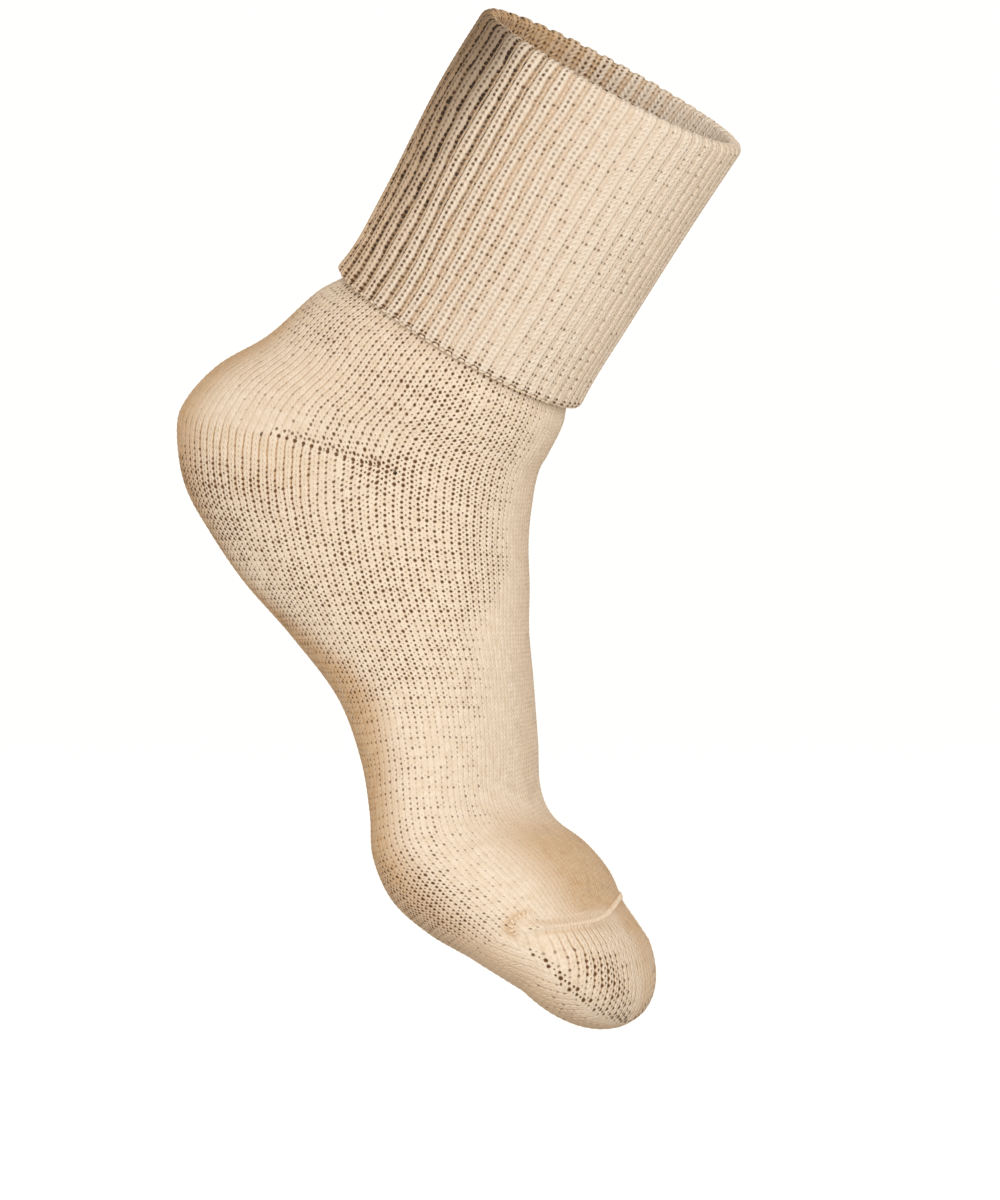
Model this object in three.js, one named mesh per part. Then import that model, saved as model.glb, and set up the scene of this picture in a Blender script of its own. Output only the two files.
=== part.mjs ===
// Diabetic sock in the hollow form it has when worn, in millimetres with +Z up.
// +X is the front of the leg and the way the toes point, and both sides of the XZ plane are alike.
// The origin is the middle of the leg opening, on the crest of the fold where the cuff turns down.
import * as THREE from "three";

// Knitted wall of the tube, the spacing of its rings below the cuff, and the course left out between two of
// its parts: the leg, the heel pocket, the foot and the toe pocket.
const WALL = 1.8;
const RING_STEP = 9;
const PART_GAP = 0.5;
const OUTLINE_STEPS = 160;

// Undyed cotton yarn, matt and cream.
const YARN = { color: "#e5d3be", roughness: 0.9, metalness: 0 };

// Turned-down cuff: a one-and-one rib, so each rib is one raised wale over a plain inside.
const CUFF_WALL = 1.3;
const CUFF_GAP = 0.3;
const CUFF_RINGS = 7;
const CUFF_FLARE = 1.2;
const RIBS = 50;
const RIB_RISE = 0.9;
const RIB_PROFILE = [0, 0.8, 1, 0.8];

// Fold at the top of the cuff, over the tube's end: its crest above that end, and the rings of its arc.
// The grooves between the ribs lie lower on the crest too, which scallops the rim.
const FOLD_HEIGHT = 2.3;
const FOLD_RINGS = 5;
const SCALLOP = 0.45;

// Linked toe seam: a ridge across the top of the toes that curls back a little towards each side.
const SEAM_RISE = 0.9;
const SEAM_HALF_WIDTH = 1.8;
const SEAM_END = 0.45;
const SEAM_TAPER = 0.1;
const SEAM_CURL = 4;
const CURL_REACH = 14;

// Rounded end of the toe pocket. Its outline starts at the share where it slopes as the toe's sides do.
const NOSE_LENGTH = 20;
const NOSE_RINGS = 6;
const NOSE_FULLNESS = 2.1;
const NOSE_START = 0.35;
const NOSE_DIP = THREE.MathUtils.degToRad(55);
const NOSE_AXIS = new THREE.Vector3(Math.cos(NOSE_DIP), 0, -Math.sin(NOSE_DIP));

// Cross sections of the tube's outside, from the fold to the toes, each flat and square to the XZ plane.
// midX and midZ: its middle. dip: degrees that its front lies below its back. depth: from back to front.
// width: across, along Y. square: exponent of its outline, 2 for an ellipse.
// lean: how far its widest place lies towards the front, as a share of half its depth.
// quarter: share of the way round from front to back at which the side wale runs.
const COLUMNS = ["place", "midX", "midZ", "dip", "depth", "width", "square", "lean", "quarter"];
const SECTIONS = [
  ["fold", 0, 0, 30, 77, 73, 2.1, 0, 0.5],
  ["cuff_upper", -14, -20.5, 29, 76.5, 71, 2.1, 0, 0.5],
  ["cuff_lower", -32, -50, 29, 73, 67, 2.1, 0, 0.5],
  ["cuff_edge", -46, -71.5, 31, 71.5, 63.5, 2.1, 0, 0.5],
  ["ankle", -52, -78, 29.5, 79, 68, 2.1, 0.02, 0.49],
  ["ankle_low", -62, -88.5, 23.5, 87, 68, 2.15, 0.05, 0.46],
  ["heel_top", -71.5, -95, 17.5, 98, 67, 2.25, 0.08, 0.42],
  ["heel_gore", -77.5, -103, 12.5, 104.5, 66, 2.35, 0.1, 0.375],
  ["heel_back", -78.5, -110, 10, 104, 66, 2.35, 0.1, 0.385],
  ["heel_low", -77.5, -119.5, 6, 99.5, 66, 2.35, 0.08, 0.405],
  ["heel_sole", -74, -129.5, 3.5, 91.5, 67, 2.3, 0.06, 0.435],
  ["arch_back", -68.5, -142, 1.5, 81, 69, 2.25, 0.03, 0.465],
  ["arch", -61, -156, -1.5, 65, 72, 2.2, 0, 0.49],
  ["arch_front", -53, -171.5, -6.5, 50.5, 76, 2.2, -0.05, 0.5],
  ["waist", -48.5, -189, -8, 43, 80, 2.2, -0.08, 0.5],
  ["instep_low", -46.5, -203.5, -11.5, 40, 84, 2.2, -0.1, 0.5],
  ["ball", -44, -213.5, -16, 44, 87, 2.2, -0.1, 0.5],
  ["ball_front", -36.5, -223, -21, 49.5, 87, 2.25, -0.1, 0.5],
  ["toe_root", -28, -231.5, -24, 46.5, 85, 2.3, -0.05, 0.5],
  ["toe_box", -20.5, -239, -25.5, 38.5, 81, 2.3, 0, 0.5],
  ["toe_seam", -14.5, -244, -28, 34.5, 76.5, 2.3, 0, 0.5],
  ["toe_end", -8.5, -249, -30.5, 31, 70, 2.3, 0, 0.5],
].map((row) => Object.fromEntries(row.map((value, i) => [COLUMNS[i], value])));
const SIZES = COLUMNS.slice(1);

// A point of a section's own plane: its depth share runs from -1 at the back to 1 at the front.
function sectionPoint(section, depthShare, acrossShare) {
  const dip = THREE.MathUtils.degToRad(section.dip);
  const reach = (section.depth / 2) * depthShare;
  const x = section.midX + reach * Math.cos(dip);
  const z = section.midZ - reach * Math.sin(dip);
  return new THREE.Vector3(x, (section.width / 2) * acrossShare, z);
}

// Distance of each section along the tube, by whichever of its back and its front moves more.
const TRAVEL = [0];
for (let i = 1; i < SECTIONS.length; i++) {
  const moved = (end) => sectionPoint(SECTIONS[i], end, 0).distanceTo(sectionPoint(SECTIONS[i - 1], end, 0));
  TRAVEL.push(TRAVEL[i - 1] + Math.max(moved(-1), moved(1)));
}
const TUBE_LENGTH = TRAVEL.at(-1);
const travelOf = (place) => TRAVEL[SECTIONS.findIndex((section) => section.place === place)];

function slope(size, i) {
  const before = Math.max(i - 1, 0);
  const after = Math.min(i + 1, SECTIONS.length - 1);
  return (SECTIONS[after][size] - SECTIONS[before][size]) / (TRAVEL[after] - TRAVEL[before]);
}

// A smooth cubic through the sections, for each of their sizes.
function tableSection(travel) {
  const i = Math.max(0, TRAVEL.findLastIndex((t, k) => t <= travel && k < SECTIONS.length - 1));
  const span = TRAVEL[i + 1] - TRAVEL[i];
  const u = (travel - TRAVEL[i]) / span;
  const startWeight = 2 * u ** 3 - 3 * u ** 2 + 1;
  const startSlope = (u ** 3 - 2 * u ** 2 + u) * span;
  const endSlope = (u ** 3 - u ** 2) * span;
  const blend = (size) =>
    startWeight * SECTIONS[i][size] +
    (1 - startWeight) * SECTIONS[i + 1][size] +
    startSlope * slope(size, i) +
    endSlope * slope(size, i + 1);
  return Object.fromEntries(SIZES.map((size) => [size, blend(size)]));
}

// Past the last section the toe rounds off: each section is the last one moved on and made smaller.
function noseSection(share) {
  const end = SECTIONS.at(-1);
  const rounding = (along) => (1 - along ** NOSE_FULLNESS) ** (1 / NOSE_FULLNESS);
  const scale = rounding(NOSE_START + (1 - NOSE_START) * Math.min(share, 1)) / rounding(NOSE_START);
  return {
    ...end,
    midX: end.midX + NOSE_AXIS.x * NOSE_LENGTH * share,
    midZ: end.midZ + NOSE_AXIS.z * NOSE_LENGTH * share,
    depth: end.depth * scale,
    width: end.width * scale,
  };
}

const sectionAt = (travel) =>
  travel <= TUBE_LENGTH ? tableSection(travel) : noseSection((travel - TUBE_LENGTH) / NOSE_LENGTH);

const power = (value, exponent) => Math.sign(value) * Math.abs(value) ** exponent;

// Half of a section's outline, from its front to its back on the +Y side, with the length run at each point.
function halfOutline(section) {
  const points = [];
  const run = [0];
  for (let i = 0; i <= OUTLINE_STEPS; i++) {
    const angle = (Math.PI * i) / OUTLINE_STEPS;
    const across = power(Math.sin(angle), 2 / section.square);
    const depth = power(Math.cos(angle), 2 / section.square) + section.lean * across ** 2;
    points.push(sectionPoint(section, depth, across));
    if (i) run.push(run[i - 1] + points[i].distanceTo(points[i - 1]));
  }
  return { points, run };
}

// The point where a wale crosses a section. round is 0 at the front, 0.5 at the back and on to 1.
function walePoint(section, round) {
  const half = round <= 0.5 ? 2 * round : 2 * (1 - round);
  const { points, run } = halfOutline(section);
  const share = half + (section.quarter - 0.5) * Math.sin(Math.PI * half);
  const length = share * run.at(-1);
  const i = Math.max(1, Math.min(run.findLastIndex((r) => r < length) + 1, run.length - 1));
  const point = points[i - 1].clone().lerp(points[i], (length - run[i - 1]) / (run[i] - run[i - 1]));
  if (round > 0.5) point.y = -point.y;
  return point;
}

const evenly = (from, to, count) =>
  Array.from({ length: count }, (_, i) => from + ((to - from) * i) / count);

// The stations of each part's rings: even under the cuff, even on the foot, three close ones on the seam,
// then closer and closer on the rounded end of the toe.
const CUFF_END = travelOf("cuff_edge");
const SEAM_AT = travelOf("toe_seam");
const between = (from, to) => {
  const start = travelOf(from) + (from === "cuff_edge" ? 0 : PART_GAP / 2);
  const end = travelOf(to) - (to === "toe_seam" ? SEAM_HALF_WIDTH : PART_GAP / 2);
  return [...evenly(start, end, Math.round((end - start) / RING_STEP)), end];
};
const PARTS = {
  leg_tube: [...evenly(FOLD_HEIGHT, CUFF_END, CUFF_RINGS), ...between("cuff_edge", "ankle")],
  heel_pocket: between("ankle", "arch"),
  foot_tube: between("arch", "toe_root"),
  toe_pocket: [
    ...between("toe_root", "toe_seam"),
    SEAM_AT,
    SEAM_AT + SEAM_HALF_WIDTH,
    ...evenly(0, Math.PI / 2, NOSE_RINGS).map((angle) => TUBE_LENGTH + NOSE_LENGTH * Math.sin(angle)),
  ],
};
const STATIONS = Object.values(PARTS).flat();
const SEAM_RING = STATIONS.indexOf(SEAM_AT);
const rounds = evenly(0, 1, RIBS);

// How far round from the front a wale lies: 0 at the front, 0.5 at the side and 1 at the back.
const fromFront = (round) => 1 - Math.abs(2 * round - 1);

// The rings near the seam curl back with it, less and less away from it.
function seamCurl(station, round) {
  const near = Math.exp(-(((station - SEAM_AT) / CURL_REACH) ** 2));
  return near * SEAM_CURL * Math.min(fromFront(round) / SEAM_END, 1) ** 3;
}

function seamRise(round) {
  return SEAM_RISE * THREE.MathUtils.clamp((SEAM_END - fromFront(round)) / SEAM_TAPER, 0, 1);
}

const SKIN = STATIONS.map((station) =>
  rounds.map((round) => walePoint(sectionAt(station - seamCurl(station, round)), round)),
);
const TIP = sectionPoint(noseSection(1), 0, 0);

// The next ring that way. The two rings at a gap look past each other, so that both have one direction.
function neighbour(ring, step) {
  const atGap = Math.abs(STATIONS[ring + step] - STATIONS[ring]) < 2 * PART_GAP;
  return ring + (atGap ? 2 * step : step);
}

// The direction square to the tube's skin at a ring's point, facing out.
function outward(ring, j) {
  const before = SKIN[Math.max(neighbour(ring, -1), 0)][j];
  const after = SKIN[neighbour(ring, 1)]?.[j] ?? TIP;
  const left = SKIN[ring][(j + 1) % RIBS];
  const right = SKIN[ring][(j + RIBS - 1) % RIBS];
  const along = after.clone().sub(before);
  const around = left.clone().sub(right);
  return around.cross(along).normalize().negate();
}
const NORMALS = SKIN.map((points, ring) => points.map((_, j) => outward(ring, j)));

// A closed wall is built as rings of points, each bridged to the next.
class Wall {
  positions = [];
  triangles = [];

  ring(points) {
    const start = this.positions.length / 3;
    points.forEach((p) => this.positions.push(p.x, p.y, p.z));
    return { start, count: points.length };
  }

  // Joins two rings. One may have a whole number of times as many points as the other.
  bridge(a, b) {
    const count = Math.max(a.count, b.count);
    const at = (ring, k) => ring.start + (Math.floor((k * ring.count) / count) % ring.count);
    for (let k = 0; k < count; k++) {
      const [a0, a1, b0, b1] = [at(a, k), at(a, k + 1), at(b, k), at(b, k + 1)];
      if (a0 !== a1) this.triangles.push(a0, b1, a1);
      if (b0 !== b1) this.triangles.push(a0, b0, b1);
    }
  }

  bridgeAll(rings) {
    rings.slice(1).forEach((ring, i) => this.bridge(rings[i], ring));
  }

  cap(ring, point, outwards) {
    const centre = this.ring([point]).start;
    for (let k = 0; k < ring.count; k++) {
      const [here, next] = [ring.start + k, ring.start + ((k + 1) % ring.count)];
      this.triangles.push(...(outwards ? [next, here, centre] : [here, next, centre]));
    }
  }

  mesh(name, finish) {
    const geometry = new THREE.BufferGeometry();
    geometry.setAttribute("position", new THREE.Float32BufferAttribute(this.positions, 3));
    geometry.setIndex(this.triangles);
    geometry.computeVertexNormals();
    const mesh = new THREE.Mesh(geometry, new THREE.MeshStandardMaterial(finish));
    mesh.name = name;
    return mesh;
  }
}

const movedOut = (ring, distance) =>
  SKIN[ring].map((point, j) => point.clone().addScaledVector(NORMALS[ring][j], distance(j)));

// One part of the knitted run: its outside down and its inside back up. The toe pocket closes at the tip.
function tubePart(name) {
  const wall = new Wall();
  const first = STATIONS.indexOf(PARTS[name][0]);
  const rings = PARTS[name].map((_, i) => first + i);
  const rise = (ring) => (j) => (ring === SEAM_RING ? seamRise(rounds[j]) : 0);
  const outside = rings.map((ring) => wall.ring(movedOut(ring, rise(ring))));
  const inside = rings.map((ring) => wall.ring(movedOut(ring, () => -WALL))).reverse();
  wall.bridgeAll([inside.at(-1), ...outside]);
  wall.bridgeAll(inside);
  if (name === "toe_pocket") {
    wall.cap(outside.at(-1), TIP, true);
    wall.cap(inside[0], TIP.clone().addScaledVector(NOSE_AXIS, -WALL), false);
  } else {
    wall.bridge(outside.at(-1), inside[0]);
  }
  return wall.mesh(name, YARN);
}

// The ribbed cuff outside the tube: up its plain inside, over the tube's end, and down its ribbed outside.
function turnedCuff() {
  const wall = new Wall();
  const tilt = THREE.MathUtils.degToRad(SECTIONS[0].dip);
  const up = new THREE.Vector3(Math.sin(tilt), 0, Math.cos(tilt));
  const flare = (ring) => CUFF_FLARE * (ring / CUFF_RINGS) ** 4;
  const plain = (ring) => wall.ring(movedOut(ring, () => CUFF_GAP + flare(ring)));
  const foldPoint = (j, out, height) =>
    SKIN[0][j].clone().addScaledVector(NORMALS[0][j], out).addScaledVector(up, height);
  const flat = (out) => wall.ring(rounds.map((_, j) => foldPoint(j, out, CUFF_GAP)));

  // Between two plain wales the ribbed points take their place by rib profile.
  const ribbed = (pointAt) => {
    const points = [];
    rounds.forEach((_, j) =>
      RIB_PROFILE.forEach((rise, k) => {
        const here = pointAt(j, rise);
        const next = pointAt((j + 1) % RIBS, rise);
        points.push(here.lerp(next, k / RIB_PROFILE.length));
      }),
    );
    return wall.ring(points);
  };
  const side = (ring) =>
    ribbed((j, rise) => {
      const out = CUFF_GAP + flare(ring) + CUFF_WALL + RIB_RISE * rise;
      return SKIN[ring][j].clone().addScaledVector(NORMALS[ring][j], out);
    });
  const arc = (share) =>
    ribbed((j, rise) => {
      const outer = CUFF_GAP + CUFF_WALL + RIB_RISE * rise * Math.min(1, 2 * share);
      const [middle, reach] = [(outer - WALL) / 2, (outer + WALL) / 2];
      const angle = Math.PI * (1 - share);
      const crest = FOLD_HEIGHT - CUFF_GAP - SCALLOP * (1 - rise);
      return foldPoint(j, middle + reach * Math.cos(angle), CUFF_GAP + crest * Math.sin(angle));
    });

  const under = Array.from({ length: CUFF_RINGS + 1 }, (_, ring) => plain(ring)).reverse();
  const over = Array.from({ length: FOLD_RINGS }, (_, i) => arc((i + 1) / (FOLD_RINGS + 1)));
  const down = Array.from({ length: CUFF_RINGS + 1 }, (_, ring) => side(ring));
  const loop = [...under, flat(CUFF_GAP), flat(-WALL), ...over, ...down];
  wall.bridgeAll([...loop, loop[0]]);
  return wall.mesh("turned_cuff", YARN);
}

const sock = new THREE.Group();
sock.name = "diabetic_sock";
sock.add(...Object.keys(PARTS).map(tubePart), turnedCuff());

export default sock;
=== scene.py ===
# %% [markdown]
# # A knitted sock, drawn from its own stitches
#
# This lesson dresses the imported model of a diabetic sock: a loose sock in cream cotton with a wide ribbed
# top turned down once, kept in the hollow shape that it has on a pointed foot. The cloth is one long tube
# of plain knitting, so the whole lesson rests on one idea: every stitch has an address, its wale (the
# column of stitches it belongs to) and its course (the row). The shape, the relief and the colours all read
# that address.

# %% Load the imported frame
import math

import bmesh
import bpy
import numpy as np
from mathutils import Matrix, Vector


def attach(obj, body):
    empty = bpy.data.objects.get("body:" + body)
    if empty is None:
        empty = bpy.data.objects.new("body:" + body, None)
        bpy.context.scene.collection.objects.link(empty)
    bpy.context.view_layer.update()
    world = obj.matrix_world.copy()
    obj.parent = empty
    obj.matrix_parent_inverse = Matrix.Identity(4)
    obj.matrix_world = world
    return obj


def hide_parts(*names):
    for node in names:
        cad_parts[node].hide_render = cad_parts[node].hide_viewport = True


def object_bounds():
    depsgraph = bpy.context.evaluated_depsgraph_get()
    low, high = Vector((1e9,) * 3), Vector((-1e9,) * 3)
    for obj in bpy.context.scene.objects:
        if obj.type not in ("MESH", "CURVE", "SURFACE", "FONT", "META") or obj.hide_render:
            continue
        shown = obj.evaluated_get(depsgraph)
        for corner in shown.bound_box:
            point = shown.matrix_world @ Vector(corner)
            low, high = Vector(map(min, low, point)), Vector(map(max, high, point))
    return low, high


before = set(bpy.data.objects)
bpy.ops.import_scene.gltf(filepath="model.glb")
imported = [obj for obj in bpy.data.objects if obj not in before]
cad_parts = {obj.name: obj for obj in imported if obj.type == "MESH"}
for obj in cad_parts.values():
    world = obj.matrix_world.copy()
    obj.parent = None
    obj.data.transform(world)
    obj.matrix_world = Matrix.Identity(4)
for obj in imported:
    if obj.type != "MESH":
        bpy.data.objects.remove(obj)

cad_box = [list(corner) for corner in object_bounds()]

# %% [markdown]
# ## The shape of the tube
#
# A worn sock is a tube that changes its section as it goes down: nearly round at the leg, long from front
# to back at the heel, flat and wide at the ball. A short table of sections says this better than a sculpted
# mesh. It has the sizes of the solid's table, so the cloth lies where the solid is. Only its last column,
# the drift of the wales, is the cloth's own. Each section is a rounded outline in a plane square to the
# sock's middle. The tube is then read at any travel along it, in mm, and at any round, the share of the way
# round it from the front over the +Y side.

# %% Sizes of the tube and its sections, in millimetres
MM = 0.001
WALL = 1.8
# mid_x and mid_z: the middle. dip: degrees that the front lies below the back. depth: from back to front.
# width: from side to side. square: exponent of the outline, 2 for an ellipse. lean: how far the widest
# place lies towards the front. quarter: share of the way from front to back at which the side wale runs.
MID_X, MID_Z, DIP, DEPTH, WIDTH, SQUARE, LEAN, QUARTER = range(8)
SECTIONS = {
    "fold": (0, 0, 30, 77, 73, 2.1, 0, 0.5),
    "cuff_upper": (-14, -20.5, 29, 76.5, 71, 2.1, 0, 0.5),
    "cuff_lower": (-32, -50, 29, 73, 67, 2.1, 0, 0.5),
    "cuff_edge": (-46, -71.5, 31, 71.5, 63.5, 2.1, 0, 0.5),
    "ankle": (-52, -78, 29.5, 79, 68, 2.1, 0.02, 0.495),
    "ankle_low": (-62, -88.5, 23.5, 87, 68, 2.15, 0.05, 0.485),
    "heel_top": (-71.5, -95, 17.5, 98, 67, 2.25, 0.08, 0.47),
    "heel_gore": (-77.5, -103, 12.5, 104.5, 66, 2.35, 0.1, 0.46),
    "heel_back": (-78.5, -110, 10, 104, 66, 2.35, 0.1, 0.46),
    "heel_low": (-77.5, -119.5, 6, 99.5, 66, 2.35, 0.08, 0.465),
    "heel_sole": (-74, -129.5, 3.5, 91.5, 67, 2.3, 0.06, 0.475),
    "arch_back": (-68.5, -142, 1.5, 81, 69, 2.25, 0.03, 0.485),
    "arch": (-61, -156, -1.5, 65, 72, 2.2, 0, 0.495),
    "arch_front": (-53, -171.5, -6.5, 50.5, 76, 2.2, -0.05, 0.5),
    "waist": (-48.5, -189, -8, 43, 80, 2.2, -0.08, 0.5),
    "instep_low": (-46.5, -203.5, -11.5, 40, 84, 2.2, -0.1, 0.5),
    "ball": (-44, -213.5, -16, 44, 87, 2.2, -0.1, 0.5),
    "ball_front": (-36.5, -223, -21, 49.5, 87, 2.25, -0.1, 0.5),
    "toe_root": (-28, -231.5, -24, 46.5, 85, 2.3, -0.05, 0.5),
    "toe_box": (-20.5, -239, -25.5, 38.5, 81, 2.3, 0, 0.5),
    "toe_seam": (-14.5, -244, -28, 34.5, 76.5, 2.3, 0, 0.5),
    "toe_end": (-8.5, -249, -30.5, 31, 70, 2.3, 0, 0.5),
}
SIZES = np.array(list(SECTIONS.values()), float)
PLACES = list(SECTIONS)
# Past the last section the toe rounds off along an axis of its own, as the end of a blunt oval does.
NOSE_LENGTH = 20
NOSE_FULLNESS = 2.1
NOSE_START = 0.35
NOSE_DIP = math.radians(55)
NOSE_AXIS = np.array([math.cos(NOSE_DIP), 0, -math.sin(NOSE_DIP)])


def section_points(size, depth_share, across_share):
    """Points in a section's plane. depth_share runs from -1 at the back to 1 at the front."""
    dip = math.radians(size[DIP])
    reach = size[DEPTH] / 2 * depth_share
    x = size[MID_X] + reach * math.cos(dip)
    z = size[MID_Z] - reach * math.sin(dip)
    return np.stack([x, size[WIDTH] / 2 * across_share, z], -1)


def moved(i, end):
    """How far the front (end 1) or the back (end -1) moves from one section to the next."""
    here, before = (section_points(SIZES[k], end, 0.0) for k in (i, i - 1))
    return np.linalg.norm(here - before)


steps = [max(moved(i, -1), moved(i, 1)) for i in range(1, len(SIZES))]
TRAVEL = np.concatenate([[0], np.cumsum(steps)])
TUBE_LENGTH = TRAVEL[-1]
travel_of = dict(zip(PLACES, TRAVEL))
print(f"{len(SIZES)} sections, {TUBE_LENGTH:.0f} mm of tube before the toe rounds off")

# %% [markdown]
# ## Reading the tube anywhere
#
# Between two sections every size follows one smooth cubic, so no ring shows as a step. The rings are worked
# out once, close together, and kept as a grid of points and outward directions. Every piece of cloth below
# asks this grid for its points, which is far quicker than working out a section for every stitch.

# %% Sizes of a section anywhere along the tube
TINY = 1e-4


def rounding(along):
    """The width of the toe's end, from 1 at its widest place (along 0) to 0 at its tip (along 1)."""
    return (1 - min(along, 1) ** NOSE_FULLNESS) ** (1 / NOSE_FULLNESS)


def sizes_at(travel):
    """A section's eight sizes: on the smooth cubic between two rows of the table, or on the rounded toe."""
    if travel > TUBE_LENGTH:
        share = min((travel - TUBE_LENGTH) / NOSE_LENGTH, 1)
        scale = rounding(NOSE_START + (1 - NOSE_START) * share) / rounding(NOSE_START)
        size = SIZES[-1].copy()
        size[[MID_X, MID_Z]] += NOSE_AXIS[[0, 2]] * NOSE_LENGTH * share
        size[[DEPTH, WIDTH]] *= max(scale, TINY)
        return size
    last = len(SIZES) - 1
    i = min(max(int(np.searchsorted(TRAVEL, travel, side="right")) - 1, 0), last - 1)
    span = TRAVEL[i + 1] - TRAVEL[i]
    u = (travel - TRAVEL[i]) / span

    def slope(k):
        before, after = max(k - 1, 0), min(k + 1, last)
        return (SIZES[after] - SIZES[before]) / (TRAVEL[after] - TRAVEL[before])

    start = 2 * u**3 - 3 * u**2 + 1
    return (
        start * SIZES[i]
        + (1 - start) * SIZES[i + 1]
        + (u**3 - 2 * u**2 + u) * span * slope(i)
        + (u**3 - u**2) * span * slope(i + 1)
    )


print("ankle, in mm and degrees:", np.round(sizes_at(travel_of["ankle"]), 2))

# %% The tube's skin as a fine grid
ROUND_STEPS, RING_STEP, NOSE_STEPS = 384, 0.5, 90
OUTLINE_POINTS = 241


def run_of(points):
    """The length along a path of points, from 0 at its first point."""
    return np.concatenate([[0], np.cumsum(np.linalg.norm(np.diff(points, axis=0), axis=1))])


def half_ring(travel):
    """Points from the front to the back on the +Y side, on the wales that run evenly round the leg."""
    size = sizes_at(travel)
    angle = np.linspace(0, math.pi, OUTLINE_POINTS)
    across = np.abs(np.sin(angle)) ** (2 / size[SQUARE])
    across[[0, -1]] = 0
    depth = np.sign(np.cos(angle)) * np.abs(np.cos(angle)) ** (2 / size[SQUARE]) + size[LEAN] * across**2
    points = section_points(size, depth, across)
    run = run_of(points)
    half = np.linspace(0, 1, ROUND_STEPS + 1)
    length = (half + (size[QUARTER] - 0.5) * np.sin(math.pi * half)) * run[-1]
    return np.stack([np.interp(length, run, points[:, k]) for k in range(3)], -1)


GRID_TRAVEL = np.concatenate([
    np.arange(0, TUBE_LENGTH, RING_STEP),
    TUBE_LENGTH + NOSE_LENGTH * np.sin(np.linspace(0, math.pi / 2, NOSE_STEPS)),
])
SKIN = np.array([half_ring(travel) for travel in GRID_TRAVEL])
along = np.gradient(SKIN, axis=0)
around = np.gradient(SKIN, axis=1)
around[:, 0] = (0, 1, 0)
around[:, -1] = (0, -1, 0)
OUTWARD = -np.cross(around, along)
OUTWARD[-1] = NOSE_AXIS
OUTWARD /= np.linalg.norm(OUTWARD, axis=-1, keepdims=True)
GIRTH = 2 * np.linalg.norm(np.diff(SKIN, axis=1), axis=2).sum(1)
# The length down each line of the grid, from the fold.
RUN = np.concatenate([
    np.zeros((1, ROUND_STEPS + 1)),
    np.cumsum(np.linalg.norm(np.diff(SKIN, axis=0), axis=2), axis=0),
])
print(f"grid of {SKIN.shape[0]} rings by {SKIN.shape[1]} points, widest girth {GIRTH.max():.0f} mm")


# %% Reading the grid
def read_grid(grid, travel, round_):
    """A smooth reading of a grid at arrays of travel and round, mirrored for the -Y side."""
    travel, round_ = np.broadcast_arrays(travel, round_)
    i = np.interp(travel, GRID_TRAVEL, np.arange(len(GRID_TRAVEL)))
    j = (1 - np.abs(2 * round_ - 1)) * ROUND_STEPS
    i0 = np.minimum(i.astype(int), len(GRID_TRAVEL) - 2)
    j0 = np.minimum(j.astype(int), ROUND_STEPS - 1)
    a, b = (i - i0)[..., None], (j - j0)[..., None]
    top = grid[i0, j0] * (1 - b) + grid[i0, j0 + 1] * b
    low = grid[i0 + 1, j0] * (1 - b) + grid[i0 + 1, j0 + 1] * b
    value = top * (1 - a) + low * a
    value[..., 1] *= np.where(round_ > 0.5, -1, 1)
    return value


def skin(travel, round_, out=0.0):
    """Points on the tube's outside, moved out by some millimetres, in metres."""
    direction = read_grid(OUTWARD, travel, round_)
    direction /= np.linalg.norm(direction, axis=-1, keepdims=True)
    return (read_grid(SKIN, travel, round_) + direction * np.asarray(out)[..., None]) * MM


print("front of the ankle, in m:", skin(travel_of["ankle"], 0.0).round(4))

# %% [markdown]
# ## Camera and light
#
# The sock is seen from its side and a little from the front, level with it, with a long lens, so that near
# and far parts keep their true sizes. The main light is one broad soft disk that shines from the camera's
# side, a little above it. A weak warm disk on the left and a weak pale one on the right light the two
# edges, and a warm room fills the rest. The back of the cuff and the edge of the heel stay in a soft shade.

# %% Camera, in metres
AZIMUTH = math.radians(19.5)
FRAME_HEIGHT = 0.336
CAMERA_DISTANCE = 2.6
FAR_ENOUGH = 60
AIM_RIGHT, AIM_UP, AIM_BACK = -0.0322, -0.1466, 0.005

right = Vector((math.cos(AZIMUTH), math.sin(AZIMUTH), 0))
back = Vector((math.sin(AZIMUTH), -math.cos(AZIMUTH), 0))
aim = right * AIM_RIGHT + Vector((0, 0, AIM_UP)) + back * AIM_BACK
camera = bpy.data.objects.new("camera", bpy.data.cameras.new("camera"))
bpy.context.collection.objects.link(camera)
camera.location = aim + back * CAMERA_DISTANCE
camera.rotation_euler = (-back).to_track_quat("-Z", "Y").to_euler()
camera.data.lens = camera.data.sensor_width * CAMERA_DISTANCE / FRAME_HEIGHT
camera.data.clip_end = FAR_ENOUGH
bpy.context.scene.camera = camera
print(f"camera lens {camera.data.lens:.0f} mm")

# %% Lights
SOCK_MIDDLE = Vector((-0.05, 0, -0.13))
ROOM_COLOUR, ROOM_STRENGTH = (1.0, 0.915, 0.82, 1), 0.52


def area_light(name, azimuth, elevation, distance, size, power, colour):
    """A disk that faces the sock. Its azimuth, in degrees, is 0 on the -Y side and 90 before the front."""
    light = bpy.data.objects.new(name, bpy.data.lights.new(name, "AREA"))
    bpy.context.collection.objects.link(light)
    a, e = math.radians(azimuth), math.radians(elevation)
    towards = Vector((math.sin(a) * math.cos(e), -math.cos(a) * math.cos(e), math.sin(e)))
    light.location = SOCK_MIDDLE + towards * distance
    light.rotation_euler = (-towards).to_track_quat("-Z", "Y").to_euler()
    light.data.shape = "DISK"
    light.data.size = size
    light.data.energy = power
    light.data.color = colour


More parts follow.
